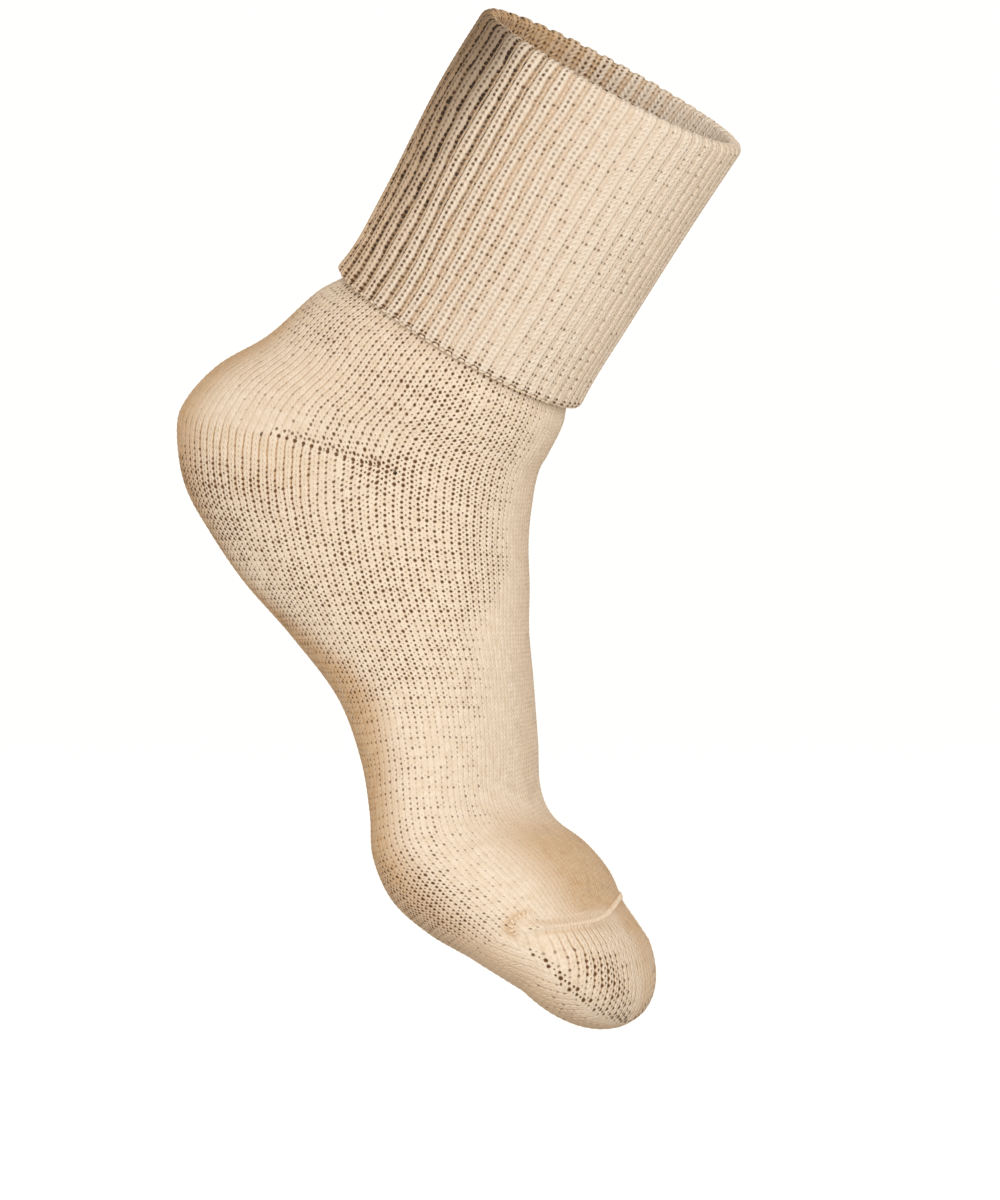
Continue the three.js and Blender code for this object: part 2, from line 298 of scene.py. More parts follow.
area_light("key", 20, 8, 2.2, 1.0, 29, (1.0, 0.99, 0.985))
area_light("warm_left", -60, 0, 1.6, 1.0, 2.5, (1.0, 0.84, 0.68))
area_light("pale_right", 88, 12, 1.8, 1.2, 3.6, (1.0, 0.96, 0.92))
world = bpy.data.worlds.new("room")
bpy.context.scene.world = world
world.use_nodes = True
room = world.node_tree.nodes["Background"].inputs
room["Color"].default_value = ROOM_COLOUR
room["Strength"].default_value = ROOM_STRENGTH
bpy.context.scene.view_settings.view_transform = "Standard"
print("lights", [light.name for light in bpy.data.lights], "and the room")


# %% [markdown]
# ## Helpers
#
# A few small helpers serve every piece. One turns a hex colour to the linear values that the shader wants,
# and one adds a node with its settings and links. One turns a grid of points into a mesh that carries the
# wale and the course of every stitch, both on its points, for the relief, and as a UV map, for the
# material. The last two merge the points where such grids meet, and put a finished mesh in the scene.

# %% Colour and node helpers
def linear(hex_colour):
    """A hex colour as linear red, green, blue and full alpha."""
    parts = [int(hex_colour[i : i + 2], 16) / 255 for i in (1, 3, 5)]
    return tuple(c / 12.92 if c <= 0.04045 else ((c + 0.055) / 1.055) ** 2.4 for c in parts) + (1.0,)


def add(tree, kind, *values, out=0, inputs=None, **settings):
    """Adds a node with its settings. Values, in order or by name, are set on its inputs or linked."""
    node = tree.nodes.new(kind)
    for name, value in settings.items():
        setattr(node, name, value)
    for target, value in [*enumerate(values), *(inputs or {}).items()]:
        if isinstance(value, bpy.types.NodeSocket):
            tree.links.new(value, node.inputs[target])
        elif value is not None:
            node.inputs[target].default_value = value
    return node if out is None else node.outputs[out]


print("mid grey is", round(linear("#808080")[0], 3), "in linear values")


# %% Mesh helper
def knit_mesh(name, patches):
    """patches are dicts of points (rows x columns x 3), wale, course and more named values of one size."""
    corners, faces, start = [], [], 0
    names = [key for key in patches[0] if key != "points"]
    values = {key: [] for key in names}
    for patch in patches:
        points = patch["points"]
        rows, columns = points.shape[:2]
        index = start + np.arange(rows * columns).reshape(rows, columns)
        quads = np.stack([index[1:, :-1], index[1:, 1:], index[:-1, 1:], index[:-1, :-1]], -1)
        corners.append(points.reshape(-1, 3))
        faces.append(quads.reshape(-1, 4))
        for key in names:
            values[key].append(np.broadcast_to(patch[key], (rows, columns)).reshape(-1))
        start += rows * columns
    corners, faces = np.concatenate(corners), np.concatenate(faces)
    values = {key: np.concatenate(value) for key, value in values.items()}
    mesh = bpy.data.meshes.new(name)
    mesh.vertices.add(len(corners))
    mesh.vertices.foreach_set("co", corners.reshape(-1).astype(np.float32))
    mesh.loops.add(faces.size)
    mesh.loops.foreach_set("vertex_index", faces.reshape(-1).astype(np.int32))
    mesh.polygons.add(len(faces))
    mesh.polygons.foreach_set("loop_start", np.arange(0, faces.size, 4, dtype=np.int32))
    mesh.polygons.foreach_set("loop_total", np.full(len(faces), 4, np.int32))
    mesh.update(calc_edges=True)
    uv = mesh.uv_layers.new(name="knit")
    address = np.stack([values["wale"], values["course"]], -1)[faces.reshape(-1)]
    uv.data.foreach_set("uv", address.reshape(-1).astype(np.float32))
    for key in names:
        mesh.attributes.new(key, "FLOAT", "POINT").data.foreach_set("value", values[key].astype(np.float32))
    return mesh


# %% Merging and placing
MERGE_WITHIN, NO_LENGTH = 2e-6, 1e-7


def weld(mesh):
    """Merges the points where grids meet, which closes seams and poles, and drops faces without a size."""
    work = bmesh.new()
    work.from_mesh(mesh)
    bmesh.ops.remove_doubles(work, verts=work.verts, dist=MERGE_WITHIN)
    bmesh.ops.dissolve_degenerate(work, edges=work.edges, dist=NO_LENGTH)
    work.to_mesh(mesh)
    work.free()
    mesh.shade_smooth()


def place(name, mesh, material):
    """Puts a mesh in the scene as a piece of one material, at the origin."""
    piece = bpy.data.objects.new(name, mesh)
    bpy.context.collection.objects.link(piece)
    mesh.materials.clear()
    mesh.materials.append(material)
    return piece


# %% [markdown]
# ## Floor
#
# The sock stands over a wide sheet of matt white paper that curves up far away, so that it has no edge in
# view. A plain square would do for one view, but its edge would show from others. The paper sends out a
# little light of its own, so that it stays white in the warm room, and it throws no light back on the sock.

# %% Paper: matt, nearly without a gloss, and a little brighter than the light on it would make it
floor_material = bpy.data.materials.new("matt_paper_backdrop")
floor_material.use_nodes = True
paper = floor_material.node_tree.nodes["Principled BSDF"].inputs
paper["Base Color"].default_value = linear("#f6f4f1")
paper["Roughness"].default_value = 0.9
paper["Specular IOR Level"].default_value = 0.1
paper["Emission Color"].default_value = linear("#ffffff")
paper["Emission Strength"].default_value = 0.6

# %% Floor, in metres
FLOOR_Z = cad_box[0][2] - 0.04
FLOOR_REACH, FLOOR_CURVE = 6, 2.5
turn = np.linspace(0, 2 * math.pi, 97)
bend = np.linspace(0.15, math.pi / 2, 12)
reach = np.concatenate([np.linspace(0, FLOOR_REACH, 8), FLOOR_REACH + FLOOR_CURVE * np.sin(bend)])
rise = np.concatenate([np.zeros(8), FLOOR_CURVE * (1 - np.cos(bend))])
floor_points = np.stack([
    np.outer(reach, np.cos(turn)),
    np.outer(reach, np.sin(turn)),
    np.repeat(FLOOR_Z + rise[:, None], len(turn), 1),
], -1)
zero = np.zeros(floor_points.shape[:2])
floor_mesh = knit_mesh("floor", [dict(points=floor_points[::-1], wale=zero, course=zero)])
weld(floor_mesh)
floor = place("floor", floor_mesh, floor_material)
floor.visible_diffuse = False
print(f"floor at {FLOOR_Z:.3f} m")

# %% [markdown]
# ## The address of a stitch
#
# The sock has 108 wales round it, each 1.8 to 2.6 mm wide as worn, and a course every 1.2 to 1.9 mm. On the
# leg and the foot every wale has the same number of courses. At the heel the machine knits short rows: from
# the side wale on, each wale towards the back gets more courses above and below the gore, the slanting line
# where the two halves of the pocket meet. So the count of courses is worked out for each wale, and the rows
# of the mesh follow it. This keeps the stitches the right size all over and makes the real change of
# direction at the gore, which a flat pattern wrapped round the heel can't do.

# %% Places on the sock
# The heel's gore: between which shares of the way to the back it runs, and how much lower it starts, in mm.
GORE_FROM, GORE_TO, GORE_SLANT = 0.4, 0.65, 3.2
GORE_AT = travel_of["heel_gore"]
# The toe's seam: the travel and the side share of its lowest place, how sharply it bends and how far it
# climbs from there, in mm.
SEAM_AT = travel_of["toe_seam"] - 0.5
SEAM_LOWEST, SEAM_BEND, SEAM_CLIMB = -0.2, 115, 15
# The side line of the toes, in share of the way from front to back.
TOE_SIDE = 0.5


def smooth(low, high, value):
    """0 up to low, 1 from high on and a soft ramp between."""
    u = np.clip((value - low) / (high - low), 0, 1)
    return u * u * (3 - 2 * u)


def from_front(round_):
    """The share of the way from the front, 0, to the back, 1, over either side."""
    return 1 - np.abs(2 * round_ - 1)


def side_share(round_):
    """From -1 at the back over the near side to 0 at the front and over the far side to 1 at the back."""
    return np.where(np.asarray(round_) > 0.5, -1, 1) * from_front(round_)


def round_at(side):
    """The round of a side share, the other way about."""
    return np.where(side >= 0, side / 2, 1 + side / 2)


def climb(side):
    """How far back from its lowest place the linked seam lies over the toes, in mm."""
    return SEAM_CLIMB * (1 - np.exp(-SEAM_BEND / SEAM_CLIMB * (side - SEAM_LOWEST) ** 2))


def seam_travel(round_):
    """The linked seam sits a little twisted: lowest on the near toes, climbing back towards both sides."""
    side = side_share(round_)
    near, far_ = climb(-TOE_SIDE), climb(TOE_SIDE)
    swing = np.sign(side) * np.cos(math.pi * (np.abs(side) - TOE_SIDE))
    under = (near + far_) / 2 + (far_ - near) / 2 * swing
    return SEAM_AT - np.where(np.abs(side) < TOE_SIDE, climb(side), under)


def gore_travel(half):
    """The line on which the two halves of the heel pocket meet, a little lower at its front end."""
    return GORE_AT + GORE_SLANT * (1 - smooth(GORE_FROM, GORE_TO, half))


print(f"gore at {GORE_AT:.0f} mm, seam from {SEAM_AT - SEAM_CLIMB:.0f} to {SEAM_AT:.0f} mm down the tube")

# %% Wales, courses and short rows
WALES = 108
COLUMNS_A_WALE, ROWS_A_COURSE = 4, 2.7
HIDDEN_COURSES, OVERLAP_COURSES = 55, 6
COURSES_ABOVE, COURSES_BELOW, COURSES_FOOT = 24, 31, 68
SHORT_ROWS = 11
FOLD_TRAVEL = 2.3
# How many courses a stitch's legs run between the wale's middle and its groove, and over how many courses
# they straighten towards an edge.
CHEVRON, CHEVRON_ROOM = 1.25, 2.5

rounds = np.linspace(0, 1, WALES * COLUMNS_A_WALE + 1)
half = from_front(rounds)
extra = SHORT_ROWS * np.clip((half - GORE_FROM) / (GORE_TO - GORE_FROM), 0, 1)
above, below = COURSES_ABOVE + extra, COURSES_BELOW + extra
in_gore = smooth(GORE_FROM - 0.03, GORE_FROM, half) * (1 - smooth(GORE_TO, GORE_TO + 0.02, half))
groove_share = np.abs(2 * ((rounds * WALES) % 1) - 1)

# For each wale, the course at the fold, the cuff's edge, the gore, the arch and the seam, and its travel.
knots = np.stack([
    np.full_like(rounds, -HIDDEN_COURSES),
    np.zeros_like(rounds),
    above,
    above + below,
    above + below + COURSES_FOOT,
])
knot_travel = np.stack([
    np.full_like(rounds, FOLD_TRAVEL),
    np.full_like(rounds, travel_of["cuff_edge"]),
    gore_travel(half),
    np.full_like(rounds, travel_of["arch"]),
    seam_travel(rounds),
])
courses_down = knots[-1] - knots[0]
print(f"{courses_down.min():.0f} courses at the front and {courses_down.max():.0f} at the back")


# %% Rows that follow the courses
def wale_travel(course, column):
    """The travel of courses down one wale: between two knots the courses share the wale's length evenly."""
    run = RUN[:, int(round(half[column] * ROUND_STEPS))]
    knot_run = np.interp(knot_travel[:, column], GRID_TRAVEL, run)
    return np.interp(np.interp(course, knots[:, column], knot_run), run, GRID_TRAVEL)


def knit_rows(base, room, relief):
    """Rows of points. base is each row's course by wale, and room its distance from an edge, in courses."""
    course = base + CHEVRON * groove_share * np.clip(room / CHEVRON_ROOM, 0, 1)
    travel = np.stack([wale_travel(course[:, j], j) for j in range(len(rounds))], 1)
    return dict(
        points=skin(travel, rounds[None]),
        wale=rounds * WALES,
        course=course,
        travel=travel,
        round=rounds,
        relief=np.broadcast_to(relief, course.shape) * 1.0,
    )


# %% [markdown]
# ## Where the stitches stand open
#
# The same knitting looks different where it is stretched. Over the side of the ankle, the lower heel and
# the ball the stitches open and show small dark holes, while the instep, the top of the heel and the top of
# the toes stay closed and smooth. The cloth also gets a browner painted shade where it turns away from the
# light: along the front of the instep, at the edge of the sole and over the toes. A painted mask could say
# all this, but a table of zones is easier to change. The values are worked out here once for every point
# and read by the material.

# %% Zones of the cloth
# Each zone has a ramp in and a ramp out down the tube, in mm of travel, and then from the front to the
# back, in share of the way. None means that the zone goes on.
ZONES = {
    "under_cuff": ((96, 112), None, None, None),
    "past_cuff": ((92, 112), None, None, None),
    "heel_cup": ((104, 124), (156, 172), (0.5, 0.66), None),
    "over_gore": (None, (128, 150), (0.3, 0.5), None),
    "under_gore": ((150, 156), (168, 190), (0.48, 0.6), None),
    "low_heel": ((152, 174), (190, 210), (0.7, 0.82), None),
    "foot": ((232, 280), None, None, None),
    "ball": ((296, 316), (330, 345), (0.44, 0.56), None),
    "toe_top": ((292, 316), (350, 362), None, (0.34, 0.48)),
    "toes": ((290, 316), (343, 348), None, (0.14, 0.36)),
    "last_rows": ((340, 352), None, None, None),
    "fan": ((349, 354), None, None, (0.36, 0.47)),
    "toe_pocket": ((352, 360), None, None, None),
    "toe_cap": ((358, 367), None, None, (0.34, 0.48)),
}


def zone(name, travel, half):
    """1 in a zone, 0 away from it and a soft ramp between."""
    start, end, front, back = ZONES[name]
    level = 1.0
    for ramp_in, ramp_out, at in ((start, end, travel), (front, back, half)):
        if ramp_in:
            level = level * smooth(*ramp_in, at)
        if ramp_out:
            level = level * (1 - smooth(*ramp_out, at))
    return level


def bell(distance, width):
    """1 where a distance is 0, falling off softly over a width."""
    return np.exp(-((distance / width) ** 2))


print(len(ZONES), "zones; the heel cup at its middle is", zone("heel_cup", 140, 1.0))


# %% Openness and shaded lines
def openness(travel, half):
    """How far the stitches stand open, from 0 to 1.5. Each zone opens or closes them by its own weight."""
    level = {name: zone(name, travel, half) for name in ZONES}
    # The closed front is a thin line on the leg and wider on the foot.
    front_edge = 0.14 * smooth(195, 240, travel) - 0.02
    side = smooth(front_edge, front_edge + 0.16, half)
    # The front end of the heel's gore.
    corner = np.exp(-(((half - GORE_FROM) / 0.06) ** 2) - ((travel - GORE_AT - GORE_SLANT) / 7) ** 2)
    opened = side * (0.88 + 0.12 * level["under_cuff"])
    opened = opened * (1 - 0.68 * level["heel_cup"]) * (1 - 0.36 * level["foot"])
    opened = opened + 0.32 * level["low_heel"] + 0.65 * corner + 0.55 * level["ball"]
    toe_cap = 0.34 * level["toe_pocket"] + 0.8 * level["toe_cap"]
    toe_cap = toe_cap * (0.4 + 0.6 * smooth(0.08, 0.24, half))
    opened = opened * (1 - 0.85 * level["toe_top"]) * (1 - 0.6 * level["last_rows"]) + toe_cap
    return np.clip(opened, 0, 1.5)


def shaded_lines(travel, half):
    """How dark the grooves between the wales are: most where the wales bunch beside a gore."""
    beside = {name: zone(name, travel, half) for name in ("under_gore", "over_gore", "fan")}
    return 1.5 * beside["under_gore"] + 0.75 * beside["over_gore"] + 1.2 * beside["fan"]


print("openness of the side of the ankle:", openness(np.array(115.0), np.array(0.4)).round(2))

# %% Places of painted shade
# The seam's ear is a small crescent at its near end. Its middle and its size are in side share and mm. A
# line of painted shade lies round it, at 1.1 of its size, and another on both sides of the seam, some mm
# from it.
EAR_SIDE, EAR_TRAVEL, EAR_SIZE = -0.41, 343, (0.055, 4.6)
EAR_LINE, EAR_LINE_WIDTH = 1.1, 0.3
SEAM_SHADE_AT, SEAM_SHADE_WIDTH = 2.6, 1.0


def seam_ends(side):
    """How much of the seam shows: all of it on the near toes, half from the front on, none past its ends."""
    fading = 1 - 0.5 * smooth(-0.22, -0.02, side)
    return smooth(-0.47, -0.38, side) * (1 - smooth(0.3, 0.42, side)) * fading


def painted_shade_share(travel, half, side, seam_at):
    """How much browner painted shade the cloth gets, from 0 to about 1."""
    # Painted shade down the front of the instep, a line that grows wider and browner towards the toes.
    toward = smooth(300, 345, travel)
    front = 1 - smooth(0.04, 0.13 + 0.1 * toward, np.abs(side - 0.06 - 0.08 * toward))
    front = front * (0.24 + 0.64 * toward) * (1 - 0.45 * smooth(352, 370, travel))
    # Painted shade on the back and the edge of the sole, where the cloth turns away from the light.
    sole_edge = 0.8 - 0.3 * smooth(195, 262, travel)
    behind = smooth(sole_edge - 0.02, sole_edge + 0.11, half) * (1 - 0.4 * smooth(300, 330, travel))
    edges = np.maximum(front, behind) * zone("past_cuff", travel, half)
    painted_shade = np.maximum(0.9 * zone("toes", travel, half), edges)
    # Painted shade on both sides of the seam's ridge, and in a line round its ear.
    beside_seam = bell(np.abs(travel - seam_at) - SEAM_SHADE_AT, SEAM_SHADE_WIDTH) * seam_ends(side)
    ear_across, ear_down = (EAR_SIDE - side) / EAR_SIZE[0], (EAR_TRAVEL - travel) / EAR_SIZE[1]
    crescent = smooth(0.1, 0.7, 0.67 * ear_across + 0.74 * ear_down)
    ear = bell(np.hypot(ear_across, ear_down) - EAR_LINE, EAR_LINE_WIDTH) * crescent
    return np.maximum(painted_shade, np.maximum(0.55 * beside_seam, 0.8 * ear))


print("the seam shows", seam_ends(-0.3).round(2), "of itself on the near toes")

# %% Values of a patch of cloth
FAR_AWAY = 600
TOE_GORE_AT, TOE_GORE_WIDTH = -2.0, 1.2


def dress_patch(patch):
    """Gives a patch its openness, shaded lines, painted shade and distance from the heel's gore, in mm."""
    travel, round_ = np.broadcast_arrays(patch.pop("travel"), patch.pop("round"))
    half, side = from_front(round_), side_share(round_)
    patch["openness"] = openness(travel, half)
    if "gore" in patch:
        beside_gore = bell(patch["gore"] - TOE_GORE_AT, TOE_GORE_WIDTH) * smooth(347.5, 352, travel)
        patch["openness"] = patch["openness"] + 0.95 * beside_gore
    patch["lines"] = shaded_lines(travel, half)
    patch["painted_shade"] = painted_shade_share(travel, half, side, seam_travel(round_))
    on_gore = smooth(GORE_FROM - 0.02, GORE_FROM + 0.005, half) * (1 - smooth(GORE_TO, GORE_TO + 0.02, half))
    patch["gore"] = (travel - gore_travel(half)) + FAR_AWAY * (1 - on_gore)
    return patch


# %% Rows of the leg, the heel and the foot
# The relief fades to a trace at an edge, over two courses. NO_EDGE is the room of a wale that has no edge
# near.
EDGE_RELIEF, RELIEF_ROOM, NO_EDGE = 0.15, 2, 99.0
# Under the cuff the rows are few and coarse, and just above its edge there are two rows a course.
HIDDEN_ROWS, OVERLAP_ROWS = 8, 2 * OVERLAP_COURSES
hidden = np.linspace(-HIDDEN_COURSES, -OVERLAP_COURSES, HIDDEN_ROWS + 1)[:-1]
overlap = np.linspace(-OVERLAP_COURSES, 0, OVERLAP_ROWS + 1)[:-1]


def shares(courses):
    """From 0 to 1 down a run of courses, one value for each row of the mesh."""
    return np.linspace(0, 1, int(courses * ROWS_A_COURSE) + 1)[:, None]


def room_beside_gore(distance):
    """The distance from the gore in courses on the wales that end there, and no edge on the others."""
    return np.where(in_gore > 0, distance / np.maximum(in_gore, 0.01), NO_EDGE)


leg_base = np.concatenate([
    np.repeat(np.concatenate([hidden, overlap])[:, None], len(rounds), 1),
    shares(COURSES_ABOVE + SHORT_ROWS) * above,
])
leg_room = np.minimum(room_beside_gore(above - leg_base), np.maximum(leg_base + HIDDEN_COURSES, 0))
leg_relief = smooth(-OVERLAP_COURSES, 2 - OVERLAP_COURSES, leg_base)
leg_relief = leg_relief * np.clip(EDGE_RELIEF + leg_room / RELIEF_ROOM, 0, 1)

heel_base = above + shares(COURSES_BELOW + SHORT_ROWS) * below
heel_room = room_beside_gore(heel_base - above)
heel_relief = np.clip(EDGE_RELIEF + heel_room / RELIEF_ROOM, 0, 1)

foot_base = above + below + shares(COURSES_FOOT) * COURSES_FOOT
foot_room = above + below + COURSES_FOOT - foot_base

leg_rows = knit_rows(leg_base, leg_room, leg_relief)
heel_rows = knit_rows(heel_base, heel_room, heel_relief)
foot_rows = knit_rows(foot_base, foot_room, np.clip(foot_room / RELIEF_ROOM, 0, 1))
for rows in (heel_rows, foot_rows):
    rows["course"] = rows["course"] - above - below
print("rows and columns", [patch["points"].shape[:2] for patch in (leg_rows, heel_rows, foot_rows)])

# %% [markdown]
# ## The toe pocket
#
# The toe is a second pocket of short rows. Its wales come up from the sole and down from the seam and end
# at a gore on each side, where the two halves meet, so no wale runs all the way to a pole. A dome of rings
# would be simpler, but its wales would all pinch together at the tip. Each half here is a grid whose wales
# start on the ring of the seam and end on the side line. Where a wale ends is found from the girth: the
# wale that starts a third of the way to the side ends where the toe is a third of its first girth.

# %% One wale of the toe
TOE_ROWS, PATH_POINTS = 72, 200
TOE_WALES, TOE_COURSE = 72, 1.95
HALF_WALES = TOE_WALES // 4
NO_WIDTH = 1e-3


def toe_wale_path(wale, start_half, start_travel):
    """The travel of a wale's points, and how far from the front they lie as it nears the side line."""
    share = abs(wale) / HALF_WALES
    side_travel = float(seam_travel(0.25 if wale >= 0 else 0.75))
    side_girth = np.interp(side_travel, GRID_TRAVEL, GIRTH)
    late_travel, late_girth = GRID_TRAVEL[GRID_TRAVEL > side_travel], GIRTH[GRID_TRAVEL > side_travel]
    end = np.interp(-side_girth * share, -late_girth, late_travel) if share < 1 else start_travel
    path = start_travel + (end - start_travel) * np.sin(np.linspace(0, math.pi / 2, PATH_POINTS))
    if not 0 < share < 1:
        return path, np.full_like(path, min(start_half, TOE_SIDE))
    girth = np.interp(path, GRID_TRAVEL, GIRTH)
    fall = math.log(max(girth[0] / max(girth[-1], NO_WIDTH), 1 + 1e-9))
    grown = math.log(TOE_SIDE / max(start_half, 1e-6))
    return path, np.minimum(start_half * (girth[0] / girth) ** (grown / fall), TOE_SIDE)


def toe_wale(wale, start_half, start_travel, over_toes):
    """Travel, round, course and relief of one wale's points, from the seam's ring to the gore."""
    path, half_way = toe_wale_path(wale, start_half, start_travel)
    if not over_toes:
        half_way = 1 - half_way
    round_ = half_way / 2 if wale >= 0 else 1 - half_way / 2
    run = run_of(skin(path, round_) / MM)
    courses = max(run[-1] / TOE_COURSE, NO_WIDTH)
    base = np.linspace(0, courses, TOE_ROWS + 1)
    room = np.minimum(base, courses - base)
    course = base + CHEVRON * abs(2 * (wale % 1) - 1) * np.clip(room / CHEVRON_ROOM, 0, 1)
    number = np.arange(PATH_POINTS)
    at = np.interp(course * TOE_COURSE, run, number)
    relief = np.clip(room / RELIEF_ROOM, 0, 1)
    return np.interp(at, number, path), np.interp(at, number, round_), course, relief


print("the toe's middle wale runs to", toe_wale_path(0, 0, 343)[0][-1].round(1), "mm")


# %% Rows of the toe pocket
def toe_rows(over_toes):
    """A half of the pocket, over the toes or under them."""
    wales = np.linspace(-HALF_WALES, HALF_WALES, 2 * HALF_WALES * COLUMNS_A_WALE + 1)
    start_half = np.abs(wales) / (2 * HALF_WALES)
    front_half = start_half if over_toes else 1 - start_half
    start = seam_travel(np.where(wales >= 0, front_half, 2 - front_half) / 2)
    columns = [toe_wale(*first, over_toes) for first in zip(wales, start_half, start)]
    travel, round_, course, relief = (np.stack(part, 1) for part in zip(*columns))
    if not over_toes:
        travel, round_, course, relief = (part[:, ::-1] for part in (travel, round_, course, relief))
    return dict(
        points=skin(travel, round_),
        wale=wales if over_toes else 2 * HALF_WALES + wales,
        course=COURSES_FOOT + course,
        travel=travel,
        round=round_,
        relief=relief,
        gore=(from_front(round_) - TOE_SIDE) * np.interp(travel, GRID_TRAVEL, GIRTH) / 2,
    )


toe_patches = [toe_rows(True), toe_rows(False)]
print("toe rows and columns", [patch["points"].shape[:2] for patch in toe_patches])

# %% [markdown]
# ## The turned-down cuff
#
# The top of the sock is a one-and-one rib: a plain wale stands up, a purl wale sinks behind it. It is
# folded once over the end of the leg, so its outside shows the rib, with a rounded crest at the opening and
# a rolled free edge that stands a little off the ankle. It has 50 ribs. They are set closer together at the
# front of the leg than at the back, where their grooves are deeper and carry a painted shade. A flat strip
# with a rib pattern could be bent round the leg, but here each point is put on the leg's own skin, so that
# the cuff follows the leg all round.

# %% Sizes of the cuff, in millimetres
CUFF_GAP, CUFF_WALL, CUFF_FLARE, RIB_RISE = 0.3, 1.3, 1.2, 1.15
RIBS, COLUMNS_A_RIB, RIB_CROWDING = 50, 8, 0.24
COURSE_LENGTH = 1.54
# How high a rib stands at its eight columns, from one groove to the next, and how far its legs reach, in
# ribs.
RIB_SHAPE, LEG_REACH = np.array([0.34, 0.2, 0.84, 1, 0.76, 1, 0.84, 0.2]), 0.375
# A rib is up to this share lower than the next, and wanders to and fro by this share of the way round.
UNEVEN_RIBS, RIB_WANDER = 0.16, 0.0016
WANDER_LENGTH, WANDER_WAVES, WANDER_SHIFT = 7.5, 7, 2.1
# Lengths of the cloth from inside the opening, over the fold, down the outside and round the edge.
LIP, ARC, DROP, ROLL, UNDER = 6.0, 7.5, 84.8, 3.4, 6.0
SCALLOP, LIP_DEPTH = 0.5, 0.15
FOLD_UP = np.array([math.sin(math.radians(30)), 0, math.cos(math.radians(30))])

cuff_wales = np.linspace(0, RIBS, RIBS * COLUMNS_A_RIB + 1)
even = np.linspace(0, 1, 1001)
crowded = even + RIB_CROWDING * np.sin(2 * math.pi * even) / (2 * math.pi)
cuff_rounds = np.interp(cuff_wales / RIBS, crowded, even)
rib_reach = np.minimum(np.abs(cuff_wales % 1 - 0.5) / LEG_REACH, 1)


def gape(round_):
    """How far the ribs stand apart: most at the back of the leg, least at the front."""
    return 0.16 + 0.84 * smooth(0.25, 0.7, from_front(round_))


rib_rise = 1 - (1 - np.resize(RIB_SHAPE, len(cuff_rounds))) * gape(cuff_rounds)
rib_number = np.round(cuff_wales + 0.5) % RIBS
rib_rise = rib_rise * (1 - UNEVEN_RIBS * (0.5 + 0.5 * np.sin(rib_number * 2.4)))
rib_widths = np.diff(cuff_rounds[::COLUMNS_A_RIB]) * GIRTH[0]
print(f"{RIBS} ribs, {rib_widths.min():.1f} to {rib_widths.max():.1f} mm wide on the leg")


# %% The parts of the cuff's path
def flare(travel):
    """How far the cuff stands off the leg, more and more towards its free edge."""
    return CUFF_FLARE * np.clip((travel - FOLD_TRAVEL) / DROP, 0, 1) ** 4


def on_fold(path, round_, rise):
    """Over the crest of the fold, from the outside of the rib to the inside of the leg."""
    share = np.clip(1 + path / ARC, 0, 1)
    outer = CUFF_GAP + CUFF_WALL + RIB_RISE * rise * np.minimum(1, 2 * share)
    angle = math.pi * (1 - share)
    crest = FOLD_TRAVEL - CUFF_GAP - SCALLOP * (1 - rise)
    lift = CUFF_GAP * np.clip(-path / 2, 0, 1) + crest * np.sin(angle)
    out = (outer - WALL) / 2 + (outer + WALL) / 2 * np.cos(angle)
    return skin(np.full_like(path, FOLD_TRAVEL), round_, out) + FOLD_UP * lift[..., None] * MM


def on_roll(path, round_, rise):
    """Round the free edge, from the outside to the side that faces the leg."""
    edge = np.full_like(path, FOLD_TRAVEL + DROP)
    down = skin(edge + 0.5, round_) - skin(edge - 0.5, round_)
    down /= np.linalg.norm(down, axis=-1, keepdims=True)
    turn = math.pi * np.clip((path - DROP) / ROLL, 0, 1)
    radius = (CUFF_WALL + RIB_RISE * rise) / 2
    out = CUFF_GAP + CUFF_FLARE + radius + radius * np.cos(turn)
    return skin(edge, round_, out) + down * (radius * np.sin(turn) * MM)[..., None]


print("flare at the free edge:", flare(FOLD_TRAVEL + DROP), "mm")


# %% Points of the cuff
def cuff_points(path):
    """Points at a path length measured from the outer foot of the fold, one column for each cuff round."""
    shift = WANDER_SHIFT * np.sin(cuff_wales * 2 * math.pi * WANDER_WAVES / RIBS)
    wander = np.sin(path / WANDER_LENGTH + shift) * np.clip(path / 8, 0, 1)
    round_ = cuff_rounds + RIB_WANDER * wander * np.sin(cuff_wales * math.pi / RIBS) ** 2
    rise = np.broadcast_to(rib_rise, path.shape)
    outer = CUFF_GAP + CUFF_WALL + RIB_RISE * rise
    lip = np.clip(-path - ARC, 0, LIP)
    under = FOLD_TRAVEL + DROP - np.clip(path - DROP - ROLL, 0, UNDER)
    parts = [
        skin(FOLD_TRAVEL + lip, round_, np.full_like(path, -WALL - LIP_DEPTH)),
        on_fold(path, round_, rise),
        skin(FOLD_TRAVEL + np.clip(path, 0, DROP), round_, outer + flare(FOLD_TRAVEL + path)),
        on_roll(path, round_, rise),
        skin(under, round_, CUFF_GAP + flare(under)),
    ]
    ends = [-ARC, 0, DROP, DROP + ROLL]
    return np.select([(path < end)[..., None] for end in ends], parts[:-1], parts[-1])


cuff_base = np.concatenate([
    np.linspace(-(LIP + ARC), -ARC, 4)[:-1],
    np.arange(-ARC, 0, COURSE_LENGTH / ROWS_A_COURSE),
    np.arange(0, DROP, COURSE_LENGTH / ROWS_A_COURSE),
    DROP + ROLL * np.linspace(0, 1, 8),
    [DROP + ROLL + UNDER],
])[:, None]
cuff_room = np.clip(np.minimum(cuff_base + 2, DROP - 1 - cuff_base) / 4, 0, 1)
cuff_path = cuff_base + CHEVRON * COURSE_LENGTH * rib_reach * cuff_room
print("cuff rows and columns", cuff_path.shape)
